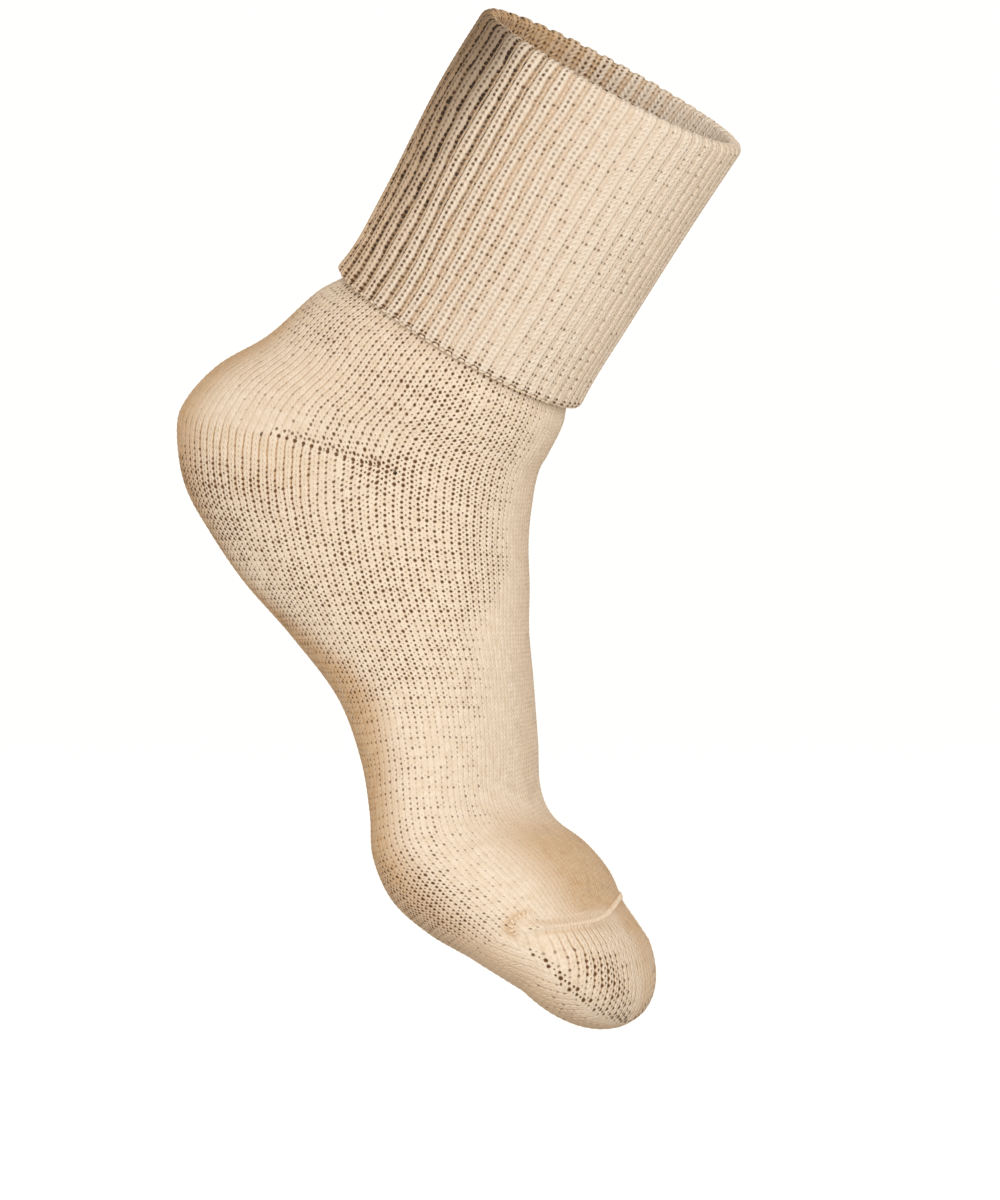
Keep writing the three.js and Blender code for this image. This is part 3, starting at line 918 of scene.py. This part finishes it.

# %% Values of the cuff
# Towards the back, which lies in shade, the holes, the shaded lines, the browner painted shade and the
# painted shade in the grooves all grow, and a little browner painted shade runs down the front. Towards the
# free edge the painted shade fades, and the edge itself has a row of open holes.
cuff_half = np.broadcast_to(from_front(cuff_rounds), cuff_path.shape)
cuff_down = np.clip(cuff_path / DROP, 0, 1)
EDGE_HOLES_AT, EDGE_HOLES_WIDTH = DROP + 0.6, 1.1
cuff_rows = dict(
    points=cuff_points(cuff_path),
    wale=cuff_wales,
    course=cuff_path / COURSE_LENGTH,
    relief=np.broadcast_to(np.clip((cuff_base + ARC) / 3, 0, 1), cuff_path.shape) * 1.0,
    openness=0.5 + 0.25 * smooth(0.3, 0.7, cuff_half) + 0.1 * cuff_down
    + 1.8 * bell(cuff_path - EDGE_HOLES_AT, EDGE_HOLES_WIDTH),
    lines=0.1 + 0.95 * smooth(0.25, 0.6, cuff_half) + 0.2 * smooth(0.5, 0.7, cuff_half),
    painted_shade=smooth(0.56, 0.84, cuff_half) * (1.1 - 0.4 * cuff_down)
    + 0.15 * (1 - smooth(0.02, 0.2, cuff_half)),
    groove_shade=smooth(0.48, 0.74, cuff_half) * (2.1 - 1.35 * cuff_down) * smooth(-6, -2, cuff_path),
)
print("deepest groove value", cuff_rows["groove_shade"].max().round(2))

# %% [markdown]
# ## Inside of the sock
#
# Through the opening the back of the knitting shows: low rows of purl bumps. Solidify could give the
# outside cloth a second side, but it would copy every stitch of it. This is one plain wall, a cloth's
# thickness in from the outside, with far fewer points, and its material draws the bumps.

# %% Rows of the inside
INSIDE_COLUMNS, INSIDE_ROWS, INSIDE_TOE_ROWS = 96, 110, 12
inside_travel = np.concatenate([
    np.linspace(FOLD_TRAVEL, TUBE_LENGTH, INSIDE_ROWS)[:-1],
    TUBE_LENGTH + (NOSE_LENGTH - WALL) * np.sin(np.linspace(0, math.pi / 2, INSIDE_TOE_ROWS)),
])[::-1, None]
inside_rounds = np.linspace(0, 1, INSIDE_COLUMNS + 1)
inside_shape = (len(inside_travel), INSIDE_COLUMNS + 1)
inside_rows = dict(
    points=skin(inside_travel, inside_rounds, np.full(inside_shape, -WALL)),
    wale=inside_rounds * WALES,
    course=inside_travel / COURSE_LENGTH,
)
print("inside rows and columns", inside_shape)

# %% [markdown]
# ## Stitch relief with Geometry Nodes
#
# In plain knitting each stitch shows two legs that lean apart, so a wale looks like a plait, and between
# two wales runs a groove. The legs could be modelled one by one, but there are thousands of them. A small
# Geometry Nodes tree turns each point's address into the relief and moves the point along its normal. The
# height of the legs is a named input, so one way serves the fine jersey and the bolder rib. The same
# formula is built again inside the materials, where it draws what is finer than the mesh.

# %% The stitch formula, for geometry and for materials
JERSEY_REACH, RIB_REACH = 2.0, 2.667
GROOVE_FROM, RIB_GROOVE_FROM = 0.62, 0.8
BEAD = 0.22


def stitch_height(tree, wale, course, reach_scale, groove_from):
    """Nodes that give a stitch's height from 0 to 1, and the distance from its wale's middle, up to 0.5."""
    share = add(tree, "ShaderNodeMath", wale, operation="FRACT")
    off = add(tree, "ShaderNodeMath", share, 0.5, operation="SUBTRACT")
    off = add(tree, "ShaderNodeMath", off, operation="ABSOLUTE")
    reach = add(tree, "ShaderNodeMath", off, reach_scale, operation="MULTIPLY")
    lean = add(tree, "ShaderNodeMath", reach, 1.0, operation="MINIMUM")
    lean = add(tree, "ShaderNodeMath", lean, CHEVRON, operation="MULTIPLY")
    phase = add(tree, "ShaderNodeMath", course, lean, operation="SUBTRACT")
    turn = add(tree, "ShaderNodeMath", phase, 2 * math.pi, operation="MULTIPLY")
    wave = add(tree, "ShaderNodeMath", turn, operation="COSINE")
    bead = add(tree, "ShaderNodeMath", wave, BEAD, 1 - BEAD, operation="MULTIPLY_ADD")
    soft = {"interpolation_type": "SMOOTHSTEP"}
    groove = add(tree, "ShaderNodeMapRange", reach, groove_from, 1.02, 1.0, 0.0, **soft)
    middle = add(tree, "ShaderNodeMapRange", reach, 0.0, 0.3, 0.62, 1.0, **soft)
    height = add(tree, "ShaderNodeMath", groove, middle, operation="MULTIPLY")
    height = add(tree, "ShaderNodeMath", height, bead, operation="MULTIPLY")
    return height, off


print(f"a stitch is {1 - 2 * BEAD:.2f} of its height at its ends")


# %% Starting, ending and running a tree
def start_tree(name, **inputs):
    """A tree with a geometry in and out and its own named inputs, each given as the kind of its socket."""
    tree = bpy.data.node_groups.new(name, "GeometryNodeTree")
    tree.interface.new_socket("Geometry", in_out="INPUT", socket_type="NodeSocketGeometry")
    for label, kind in inputs.items():
        tree.interface.new_socket(label.replace("_", " "), in_out="INPUT", socket_type="NodeSocket" + kind)
    tree.interface.new_socket("Geometry", in_out="OUTPUT", socket_type="NodeSocketGeometry")
    return tree, add(tree, "NodeGroupInput", out=None).outputs


def end_tree(tree, geometry, yarn):
    """Instances are made real, because the export drops them, and the yarn is set."""
    real = add(tree, "GeometryNodeRealizeInstances", geometry)
    done = add(tree, "GeometryNodeSetMaterial", real, None, yarn)
    add(tree, "NodeGroupOutput", done, out=None)
    return tree


def apply_tree(piece, tree, **inputs):
    """Runs a tree on a piece, keeps its result as a plain mesh and removes the modifier."""
    modifier = piece.modifiers.new(tree.name, "NODES")
    modifier.node_group = tree
    sockets = {item.name: item for item in tree.interface.items_tree if item.in_out == "INPUT"}
    for name, value in inputs.items():
        modifier[sockets[name.replace("_", " ")].identifier] = value
    evaluated = piece.evaluated_get(bpy.context.evaluated_depsgraph_get())
    mesh = bpy.data.meshes.new_from_object(evaluated)
    piece.modifiers.remove(modifier)
    old = piece.data
    piece.data = mesh
    bpy.data.meshes.remove(old)
    mesh.shade_smooth()
    area = sum(face.area for face in mesh.polygons) * 1e4
    print(f"{piece.name}: {len(mesh.polygons)} faces, area {area:.0f} cm2")
    return piece


# %% The relief trees
LEVEL = 0.6


def relief_tree(name, reach_scale, groove_from):
    """A tree that lifts the legs of the stitches over a level and sinks the grooves under it."""
    tree, given = start_tree(name, Leg_height="Float", Yarn="Material")
    wale, course, relief = (
        add(tree, "GeometryNodeInputNamedAttribute", key) for key in ("wale", "course", "relief")
    )
    height, _ = stitch_height(tree, wale, course, reach_scale, groove_from)
    level = add(tree, "ShaderNodeMath", height, LEVEL, operation="SUBTRACT")
    level = add(tree, "ShaderNodeMath", level, relief, operation="MULTIPLY")
    level = add(tree, "ShaderNodeMath", level, given["Leg height"], operation="MULTIPLY")
    normal = add(tree, "GeometryNodeInputNormal")
    offset = add(tree, "ShaderNodeVectorMath", normal, operation="SCALE", inputs={"Scale": level})
    lifted = add(tree, "GeometryNodeSetPosition", given["Geometry"], None, None, offset)
    return end_tree(tree, lifted, given["Yarn"])


jersey_relief = relief_tree("jersey_relief", JERSEY_REACH, GROOVE_FROM)
rib_relief = relief_tree("rib_relief", RIB_REACH, RIB_GROOVE_FROM)
print("relief trees of", len(jersey_relief.nodes), "nodes")

# %% [markdown]
# ## Rows of raised stitches
#
# Two rows of yarn lie on top of the knitting: the linking that closes the toe, a row of short bars over the
# ridge that turns round in a small ear at its near end, and the bound-off loops along the free edge of the
# cuff. An array along a curve could set them, but it would need the curve's tilt at every point to follow
# the skin. So each row is a path of points with a direction and an upward side, and one Geometry Nodes tree
# sets a small rounded stitch on every point. A little chance in the size keeps the row from looking
# machined.

# %% Stitch tree
SHORTEST, LONGEST = 0.85, 1.15
BALL_SIDES, BALL_RINGS, BALL_RADIUS = 8, 6, 0.5


def stitch_tree():
    """A tree that sets a stretched ball of yarn on each point, along its direction."""
    tree, given = start_tree("stitch_row", Stitch_size="Vector", Seed="Int", Yarn="Material")
    along, up = (
        add(tree, "GeometryNodeInputNamedAttribute", key, data_type="FLOAT_VECTOR")
        for key in ("along", "up")
    )
    turn_ = add(tree, "FunctionNodeAlignRotationToVector", inputs={"Vector": along}, axis="X")
    align = {"Rotation": turn_, "Vector": up}
    turn_ = add(tree, "FunctionNodeAlignRotationToVector", inputs=align, axis="Z", pivot_axis="X")
    spread = {2: SHORTEST, 3: LONGEST, "Seed": given["Seed"]}
    chance = add(tree, "FunctionNodeRandomValue", out="Value", inputs=spread)
    size = given["Stitch size"]
    size = add(tree, "ShaderNodeVectorMath", size, operation="SCALE", inputs={"Scale": chance})
    ball = add(tree, "GeometryNodeMeshUVSphere", BALL_SIDES, BALL_RINGS, BALL_RADIUS)
    pose = {"Rotation": turn_, "Scale": size}
    row = add(tree, "GeometryNodeInstanceOnPoints", given["Geometry"], None, ball, inputs=pose)
    return end_tree(tree, row, given["Yarn"])


stitch_row_tree = stitch_tree()


def stitch_row(name, points, along, up, size, seed, material):
    """Points in metres with a direction for each stitch's length and one for its upper side."""
    mesh = bpy.data.meshes.new(name)
    mesh.from_pydata([tuple(point) for point in points], [], [])
    for key, vectors in (("along", along), ("up", up)):
        mesh.attributes.new(key, "FLOAT_VECTOR", "POINT").data.foreach_set("vector", np.ravel(vectors))
    piece = place(name, mesh, material)
    size = [part * MM for part in size]
    return apply_tree(piece, stitch_row_tree, Stitch_size=size, Seed=seed, Yarn=material)


print("stitch tree of", len(stitch_row_tree.nodes), "nodes")

# %% [markdown]
# ## Cotton yarn, knitted plain and in rib
#
# The yarn is undyed combed cotton: matt, cream, with a soft nap and slightly uneven from stitch to stitch.
# The material reads each point's address from the knit UV map. It draws the two legs of every stitch, a
# shaded groove between the wales, and the small dark holes that show where the cloth is stretched: a strong
# one in every other course, a weaker one between, and the finest in the middle of a stitch. Chance decides
# which holes stay closed, as it does in real knitting. At the gores the holes are larger, because there the
# machine carries a stitch over from one half of the pocket to the other. The holes could be cut in the
# mesh, but that would need a far finer one.

# %% Colours and sizes of the knitting
YARN_LIGHT, YARN_MID, YARN_SHADE = "#f2e3cf", "#e7d4bb", "#bf9c74"
# The second tan, the hole colour and the colour of the pits are painted shade: where the cloth turns away
# and beside the seam, the dim inside seen through a hole, and the dark far down in a rib's groove.
PAINTED_SHADE_TAN, HOLE_SHADE, PIT_SHADE = "#cca577", "#65401b", "#33241a"
WALE_MM, RIB_MM = 2.3, 4.4
# Swells of each noise in a metre: the sway of the rows is about 4 mm long, the yarn's unevenness 2.4 mm,
# about a stitch, and a patch of looser cloth 26 mm. The nap itself is too fine to show, so the unevenness
# stands for it.
SWAY, UNEVEN, PATCHES = 240.0, 420.0, 38.0
SOFT = {"interpolation_type": "SMOOTHSTEP"}


def holes(tree, across, down, size, seen):
    """How dark a round hole is at a point, from the point's distances in mm and the hole's size. The dark is
    painted shade, the dim inside seen through the hole.
    """
    spread = add(tree, "ShaderNodeCombineXYZ", across, down)
    spread = add(tree, "ShaderNodeVectorMath", spread, operation="LENGTH", out=1)
    spread = add(tree, "ShaderNodeMath", spread, size, operation="DIVIDE")
    mask = add(tree, "ShaderNodeMapRange", spread, 0.5, 1.15, 1.0, 0.0, **SOFT)
    return add(tree, "ShaderNodeMath", mask, seen, operation="MULTIPLY", use_clamp=True)


print("a wale is drawn", WALE_MM, "mm wide and a rib", RIB_MM, "mm")


# %% One hole in every course
def stitch_holes(tree, across, column, course, opened, radius, level):
    """One hole in every course of a column; how open the cloth is and chance decide how much it shows."""
    row = add(tree, "ShaderNodeMath", course, operation="ROUND")
    down = add(tree, "ShaderNodeMath", course, row, operation="SUBTRACT")
    down = add(tree, "ShaderNodeMath", down, COURSE_LENGTH, operation="MULTIPLY")
    stitch = add(tree, "ShaderNodeCombineXYZ", column, row)
    chance = add(tree, "ShaderNodeTexWhiteNoise", stitch, noise_dimensions="2D")
    # Every other course has the weaker hole, and chance closes some of all of them.
    other = add(tree, "ShaderNodeMath", row, 2.0, operation="FLOORED_MODULO")
    closed = add(tree, "ShaderNodeMath", chance, 0.55, operation="MULTIPLY")
    closed = add(tree, "ShaderNodeMath", other, 0.14, closed, operation="MULTIPLY_ADD")
    seen = add(tree, "ShaderNodeMath", opened, closed, operation="SUBTRACT")
    size = add(tree, "ShaderNodeMapRange", seen, 0.0, 1.2, 0.62 * radius, 1.45 * radius)
    size = add(tree, "ShaderNodeMath", other, -0.15 * radius, size, operation="MULTIPLY_ADD")
    seen = add(tree, "ShaderNodeMath", seen, level / 0.42, operation="MULTIPLY", use_clamp=True)
    depth = add(tree, "ShaderNodeMapRange", opened, 0.2, 1.0, 0.55, 1.0)
    seen = add(tree, "ShaderNodeMath", seen, depth, operation="MULTIPLY")
    return holes(tree, across, down, size, seen)


print("holes are drawn", COURSE_LENGTH, "mm apart down a wale")


# %% What a rib shows
def rib_marks(tree, wale, course, off, height, given):
    """The holes and lines of a rib, the painted shade of its groove, and its height with the purl wale
    behind.
    """
    across = add(tree, "ShaderNodeMath", off, -RIB_MM, 0.36 * RIB_MM, operation="MULTIPLY_ADD")
    flank = add(tree, "ShaderNodeMath", wale, 2.0, operation="MULTIPLY")
    flank = add(tree, "ShaderNodeMath", flank, operation="FLOOR")
    dark = stitch_holes(tree, across, flank, course, given["openness"], 0.46, 0.9)
    # Chance makes the painted shade of the grooves and creases uneven.
    uneven_shade = add(tree, "ShaderNodeMapRange", given["uneven"], 0.38, 0.62, 0.45, 1.25)
    turn = add(tree, "ShaderNodeMath", course, 2 * math.pi, operation="MULTIPLY")
    swell = add(tree, "ShaderNodeMath", turn, operation="SINE")
    # Painted shade darkens the groove where the ribs gape, but for the strand of purl yarn in its middle.
    groove_shade = add(tree, "ShaderNodeAttribute", attribute_name="groove_shade", out=2)
    pit_shade = add(tree, "ShaderNodeMapRange", off, 0.25, 0.35, 0.0, 1.0, **SOFT)
    strand = add(tree, "ShaderNodeMapRange", off, 0.39, 0.46, 1.0, 0.22, **SOFT)
    stitch = add(tree, "ShaderNodeMath", swell, 0.34, 0.78, operation="MULTIPLY_ADD")
    for share in (strand, uneven_shade, stitch):
        pit_shade = add(tree, "ShaderNodeMath", pit_shade, share, operation="MULTIPLY")
    pit_shade = add(tree, "ShaderNodeMath", pit_shade, groove_shade, operation="MULTIPLY", use_clamp=True)
    # Where the groove shade is strongest, high on the back, painted shade darkens the ribs as well.
    deep_shade = add(tree, "ShaderNodeMapRange", groove_shade, 1.0, 2.0, 0.0, 0.6)
    pit_shade = add(tree, "ShaderNodeMath", pit_shade, deep_shade, operation="MAXIMUM")
    # A dark line of painted shade in the crease between the two legs of a plain wale, broken from stitch to
    # stitch.
    between = add(tree, "ShaderNodeMapRange", off, 0.03, 0.12, 1.0, 0.0, **SOFT)
    beat = add(tree, "ShaderNodeMath", turn, operation="COSINE")
    beat = add(tree, "ShaderNodeMath", beat, 0.42, 0.5, operation="MULTIPLY_ADD")
    for share in (beat, given["lines"], uneven_shade):
        between = add(tree, "ShaderNodeMath", between, share, operation="MULTIPLY")
    dark = add(tree, "ShaderNodeMath", dark, between, operation="MAXIMUM")
    # The purl wale behind shows as a line of bumps in the middle of each groove.
    bumps = add(tree, "ShaderNodeMath", swell, 0.2, 0.45, operation="MULTIPLY_ADD")
    back = add(tree, "ShaderNodeMapRange", off, 0.38, 0.5, 0.0, 1.0, **SOFT)
    height = add(tree, "ShaderNodeMath", back, bumps, height, operation="MULTIPLY_ADD")
    return dark, pit_shade, height


print("on a rib the holes lie", round(0.36 * RIB_MM, 2), "mm from its middle")

# %% What the plain knitting shows
# The gore's own holes are at the gore and a little above it: distance from the gore in mm, how much
# narrower than long, radius in mm and how dark.
GORE_HOLES = ((None, 1.5, 0.95, 0.97), (2.5, 1.6, 0.8, 0.85))


def plain_marks(tree, wale, course, off, height, given):
    """The holes of plain knitting: between two wales, in the middle of a wale, and along the gores."""
    between = add(tree, "ShaderNodeMath", off, -WALE_MM, 0.5 * WALE_MM, operation="MULTIPLY_ADD")
    middle = add(tree, "ShaderNodeMath", off, WALE_MM, operation="MULTIPLY")
    column = add(tree, "ShaderNodeMath", wale, operation="ROUND")
    dark = stitch_holes(tree, between, column, course, given["openness"], 0.49, 0.97)
    gore = add(tree, "ShaderNodeAttribute", attribute_name="gore", out=2)
    for across, (above_by, narrow, radius, level) in zip((between, middle), GORE_HOLES):
        down = gore
        if above_by:
            down = add(tree, "ShaderNodeMath", down, above_by, operation="ADD")
        across = add(tree, "ShaderNodeMath", across, narrow, operation="MULTIPLY")
        at_gore = holes(tree, across, down, radius, level)
        dark = add(tree, "ShaderNodeMath", dark, at_gore, operation="MAXIMUM")
    # The finer holes in the middle of each wale lie half a course further down.
    column = add(tree, "ShaderNodeMath", wale, operation="FLOOR")
    half_down = add(tree, "ShaderNodeMath", course, 0.5, operation="ADD")
    less = add(tree, "ShaderNodeMath", given["openness"], 0.22, operation="SUBTRACT")
    fine = stitch_holes(tree, middle, column, half_down, less, 0.34, 0.62)
    return add(tree, "ShaderNodeMath", dark, fine, operation="MAXIMUM"), None, height


print(len(GORE_HOLES), "rows of larger holes along each gore")


# %% Colour of the yarn in layers
def yarn_colour(tree, height, dark, pit_shade, given, colours):
    """The yarn's colour in layers: uneven cream, a browner painted shade, shaded grooves, then holes and
    pits, whose dark is painted shade as well.
    """
    light, middle, shade = colours
    tone = add(tree, "ShaderNodeMapRange", given["uneven"], 0.32, 0.7, 0.0, 1.0)
    low = add(tree, "ShaderNodeMapRange", height, 0.05, 0.75, 1.0, 0.0, **SOFT)
    groove = add(tree, "ShaderNodeMapRange", given["lines"], 0.0, 1.6, 0.15, 1.15)
    groove = add(tree, "ShaderNodeMath", low, groove, operation="MULTIPLY", use_clamp=True)
    mottle = add(tree, "ShaderNodeMapRange", given["uneven"], 0.3, 0.7, 0.55, 1.0)
    painted_shade = add(tree, "ShaderNodeMath", given["painted_shade"], mottle, operation="MULTIPLY", use_clamp=True)
    yarn = linear(middle)
    for share, colour in ((tone, light), (painted_shade, PAINTED_SHADE_TAN), (groove, shade), (dark, HOLE_SHADE), (pit_shade, PIT_SHADE)):
        if share:
            layers = {0: share, 6: yarn, 7: linear(colour)}
            yarn = add(tree, "ShaderNodeMix", out=2, inputs=layers, data_type="RGBA")
    return yarn


print("a groove in the plain knit shades to", YARN_SHADE)


# %% Cotton material
CREAM = (YARN_LIGHT, YARN_MID, YARN_SHADE)


def knitted_cotton(name, marks, reach_scale, sway_reach, bump_height, colours=CREAM):
    """Cotton knitting. marks draws what this kind of knitting shows, over the stitches' own height."""
    material = bpy.data.materials.new(name)
    material.use_nodes = True
    tree = material.node_tree
    surface = tree.nodes["Principled BSDF"]
    address = add(tree, "ShaderNodeUVMap", uv_map="knit")
    place_on = add(tree, "ShaderNodeTexCoord", out=3)
    sway = add(tree, "ShaderNodeTexNoise", place_on, out=1, inputs={"Scale": SWAY, "Detail": 0.0})
    sway = add(tree, "ShaderNodeVectorMath", sway, (0.5, 0.5, 0.5), operation="SUBTRACT")
    address = add(tree, "ShaderNodeVectorMath", sway, sway_reach, address, operation="MULTIPLY_ADD")
    wale, course = add(tree, "ShaderNodeSeparateXYZ", address, out=None).outputs[:2]
    height, off = stitch_height(tree, wale, course, reach_scale, GROOVE_FROM)
    given = {
        key: add(tree, "ShaderNodeAttribute", attribute_name=key, out=2)
        for key in ("openness", "lines", "painted_shade")
    }
    given["uneven"], patches = (
        add(tree, "ShaderNodeTexNoise", place_on, inputs={"Scale": scale, "Detail": 2.0, "Roughness": 0.6})
        for scale in (UNEVEN, PATCHES)
    )
    drift = add(tree, "ShaderNodeMapRange", patches, 0.3, 0.7, -0.2, 0.14)
    given["openness"] = add(tree, "ShaderNodeMath", given["openness"], drift, operation="ADD")
    course = add(tree, "ShaderNodeMath", course, CHEVRON + 0.5, operation="SUBTRACT")
    dark, pit_shade, height = marks(tree, wale, course, off, height, given)

    yarn = yarn_colour(tree, height, dark, pit_shade, given, colours)
    tree.links.new(yarn, surface.inputs["Base Color"])
    depth = add(tree, "ShaderNodeMath", dark, -0.9, height, operation="MULTIPLY_ADD")
    depth = add(tree, "ShaderNodeMath", given["uneven"], 0.3, depth, operation="MULTIPLY_ADD")
    shape = {"Strength": 0.6, "Distance": bump_height, "Height": depth}
    tree.links.new(add(tree, "ShaderNodeBump", inputs=shape), surface.inputs["Normal"])
    surface.inputs["Roughness"].default_value = 0.92
    surface.inputs["Specular IOR Level"].default_value = 0.25
    surface.inputs["Sheen Weight"].default_value = 0.15
    surface.inputs["Sheen Roughness"].default_value = 0.5
    surface.inputs["Sheen Tint"].default_value = linear("#fff2e0")
    return material


# %% The three kinds of knitting
# What each kind shows, the reach of its legs, how far its rows sway, in wales and courses, and how high its
# bumps stand, in metres.
PLAIN = (plain_marks, JERSEY_REACH, (0.3, 0.55, 0.0), 0.0003)
RIB = (rib_marks, RIB_REACH, (0.12, 0.55, 0.0), 0.0007)
RIB_CREAM, PURL_SHADED_CREAM = ("#f3e6d5", "#e9d8c3", YARN_SHADE), ("#dcc7ab", "#cfb799", "#a88a68")
# Combed cotton, plain knit: matt cream, with browner grooves and a faint sheen of nap where it turns away.
jersey = knitted_cotton("combed_cotton_plain_knit", *PLAIN)
# The same yarn in rib: thicker and looser, so it looks a little lighter and its bumps are higher.
rib = knitted_cotton("combed_cotton_rib_knit", *RIB, RIB_CREAM)
# The back of the plain knit, inside the leg: its darker, browner creams are painted shade. The inside's
# points have no gore value, which reads as 0, so every groove is drawn dark, as painted shade between the
# bumps of purl.
purl = knitted_cotton("combed_cotton_purl_side_shaded", *PLAIN, PURL_SHADED_CREAM)
print("materials", [material.name for material in (jersey, rib, purl)])

# %% [markdown]
# ## Yarn of the seam and the edge
#
# The linking and the bound-off loops are the same cotton as single strands, so they have no holes and no
# wales. The knit material could serve them, but it would need an address for each loop. A plain mix of two
# creams, uneven along the yarn, is all that shows at this size.

# %% Combed cotton yarn: matt and cream, a little lighter and darker from stitch to stitch
linking_yarn = bpy.data.materials.new("combed_cotton_linking_yarn")
linking_yarn.use_nodes = True
tree = linking_yarn.node_tree
strand = tree.nodes["Principled BSDF"].inputs
place_on = add(tree, "ShaderNodeTexCoord", out=3)
tone = add(tree, "ShaderNodeTexNoise", place_on, inputs={"Scale": UNEVEN, "Detail": 2.0})
layers = {0: tone, 6: linear("#e2cbae"), 7: linear("#f2e2cc")}
tree.links.new(add(tree, "ShaderNodeMix", out=2, inputs=layers, data_type="RGBA"), strand["Base Color"])
strand["Roughness"].default_value = 0.92
strand["Specular IOR Level"].default_value = 0.25
print("material", linking_yarn.name)

# %% [markdown]
# ## The pieces of cloth
#
# The rows worked out above become four pieces of cloth and the inside. Leg and heel are one run of
# knitting, so they are one piece. Near the toe seam the cloth rises in a low ridge, with a soft ear at its
# near end, because two edges of cloth lie under the linking. The ridge could be a strip of its own, but it
# is the same cloth.

# %% The ridge of the seam
SEAM_RISE, SEAM_HALF_WIDTH = 0.85, 1.9
EAR_RISE, EAR_REACH, HALF_GIRTH = 1.4, 4.5, 110


def raise_seam(patch):
    """The linked seam lifts the cloth on both sides of it into a low ridge, with a soft ear at its end."""
    travel, round_ = np.broadcast_arrays(patch["travel"], patch["round"])
    side = side_share(round_)
    off = np.clip(np.abs(travel - seam_travel(round_)) / SEAM_HALF_WIDTH, 0, 1)
    ridge = SEAM_RISE * seam_ends(side) * (0.5 + 0.5 * np.cos(math.pi * off))
    from_ear = np.hypot((side - EAR_SIDE) * HALF_GIRTH, travel - EAR_TRAVEL)
    patch["points"] = skin(travel, round_, ridge + EAR_RISE * bell(from_ear, EAR_REACH))


for patch in (foot_rows, *toe_patches):
    raise_seam(patch)
print(f"ridge {SEAM_RISE} mm high, ear {EAR_RISE} mm")

# %% The pieces
LEG_HEIGHT = 0.0003
cloth = {
    "leg_knit": ([dress_patch(leg_rows), dress_patch(heel_rows)], jersey, jersey_relief),
    "foot_knit": ([dress_patch(foot_rows)], jersey, jersey_relief),
    "toe_knit": ([dress_patch(patch) for patch in toe_patches], jersey, jersey_relief),
    "cuff_rib": ([cuff_rows], rib, rib_relief),
    "inside_purl": ([inside_rows], purl, None),
}
pieces = {}
for name, (patches, material, relief) in cloth.items():
    mesh = knit_mesh(name, patches)
    weld(mesh)
    pieces[name] = place(name, mesh, material)
    if relief:
        apply_tree(pieces[name], relief, Leg_height=LEG_HEIGHT, Yarn=material)
print("pieces", list(pieces))

# %% Paths of the linked seam
# Both paths are read on the skin: the seam from its near end to its far end, as side shares, and the ear's
# bend, as degrees round its middle. A bar leans a little along the path, and the seam's bars sink into the
# ridge.
SEAM_FROM, SEAM_TO, SEAM_PITCH, SEAM_SINK = -0.46, 0.33, 1.15, 0.1
EAR_FROM, EAR_TO, EAR_PITCH, EAR_BARS_RISE = 72, 200, 1.25, 0.6
BAR_LEAN = 0.35


def row_on_skin(side, travel, rise):
    """Points over the skin along a path, each with the direction across the path and the outward one."""
    points = skin(travel, round_at(side), rise)
    path_way = np.gradient(points, axis=0)
    up = read_grid(OUTWARD, travel, round_at(side))
    across = np.cross(up, path_way)
    across /= np.linalg.norm(across, axis=1, keepdims=True)
    path_way /= np.linalg.norm(path_way, axis=1, keepdims=True)
    return points, across + BAR_LEAN * path_way, up


def evenly(side, travel, pitch):
    """The same path with its points a pitch apart, in mm."""
    run = run_of(skin(travel, round_at(side)) / MM)
    at = np.arange(0, run[-1], pitch)
    return np.interp(at, run, side), np.interp(at, run, travel)


seam_side = np.linspace(SEAM_FROM, SEAM_TO, 300)
seam_path = evenly(seam_side, seam_travel(round_at(seam_side)), SEAM_PITCH)
ear_turn = np.linspace(math.radians(EAR_FROM), math.radians(EAR_TO), 200)
ear_side, ear_travel = EAR_SIDE + EAR_SIZE[0] * np.cos(ear_turn), EAR_TRAVEL - EAR_SIZE[1] * np.sin(ear_turn)
ear_path = evenly(ear_side, ear_travel, EAR_PITCH)
print(len(seam_path[0]), "bars along the seam and", len(ear_path[0]), "round its ear")

# %% Linked seam and bound-off edge
SEAM_STITCH, SEAM_SEED = (1.8, 0.7, 0.45), 3
EDGE_STITCH, EDGE_SEED, EDGE_AT = (2.1, 1.0, 0.9), 5, 0.45
seam_rows = [
    row_on_skin(*seam_path, SEAM_RISE * seam_ends(seam_path[0]) - SEAM_SINK),
    row_on_skin(*ear_path, np.full_like(ear_path[0], EAR_BARS_RISE)),
]
seam_rows = [np.concatenate(part) for part in zip(*seam_rows)]
pieces["seam_stitches"] = stitch_row("seam_stitches", *seam_rows, SEAM_STITCH, SEAM_SEED, linking_yarn)

edge_points = cuff_points(np.full((1, len(cuff_rounds)), DROP + EDGE_AT * ROLL))[0]
edge_way = np.gradient(edge_points, axis=0)
edge_way[[0, -1]] = (0, 1, 0)
edge_up = read_grid(OUTWARD, FOLD_TRAVEL + DROP, cuff_rounds)
two_a_rib = slice(0, -1, COLUMNS_A_RIB // 2)
edge_row = [part[two_a_rib] for part in (edge_points, edge_way, edge_up)]
pieces["edge_stitches"] = stitch_row("edge_stitches", *edge_row, EDGE_STITCH, EDGE_SEED, linking_yarn)

# %% [markdown]
# ## Fit to the frame
#
# Every piece rides on the sock's one body, and each run of cloth stands for the solids that it covers.

# %% Bodies and solids
for piece in pieces.values():
    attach(piece, "root")
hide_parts("leg_tube", "heel_pocket")
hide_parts("foot_tube")
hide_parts("toe_pocket")
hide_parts("turned_cuff")
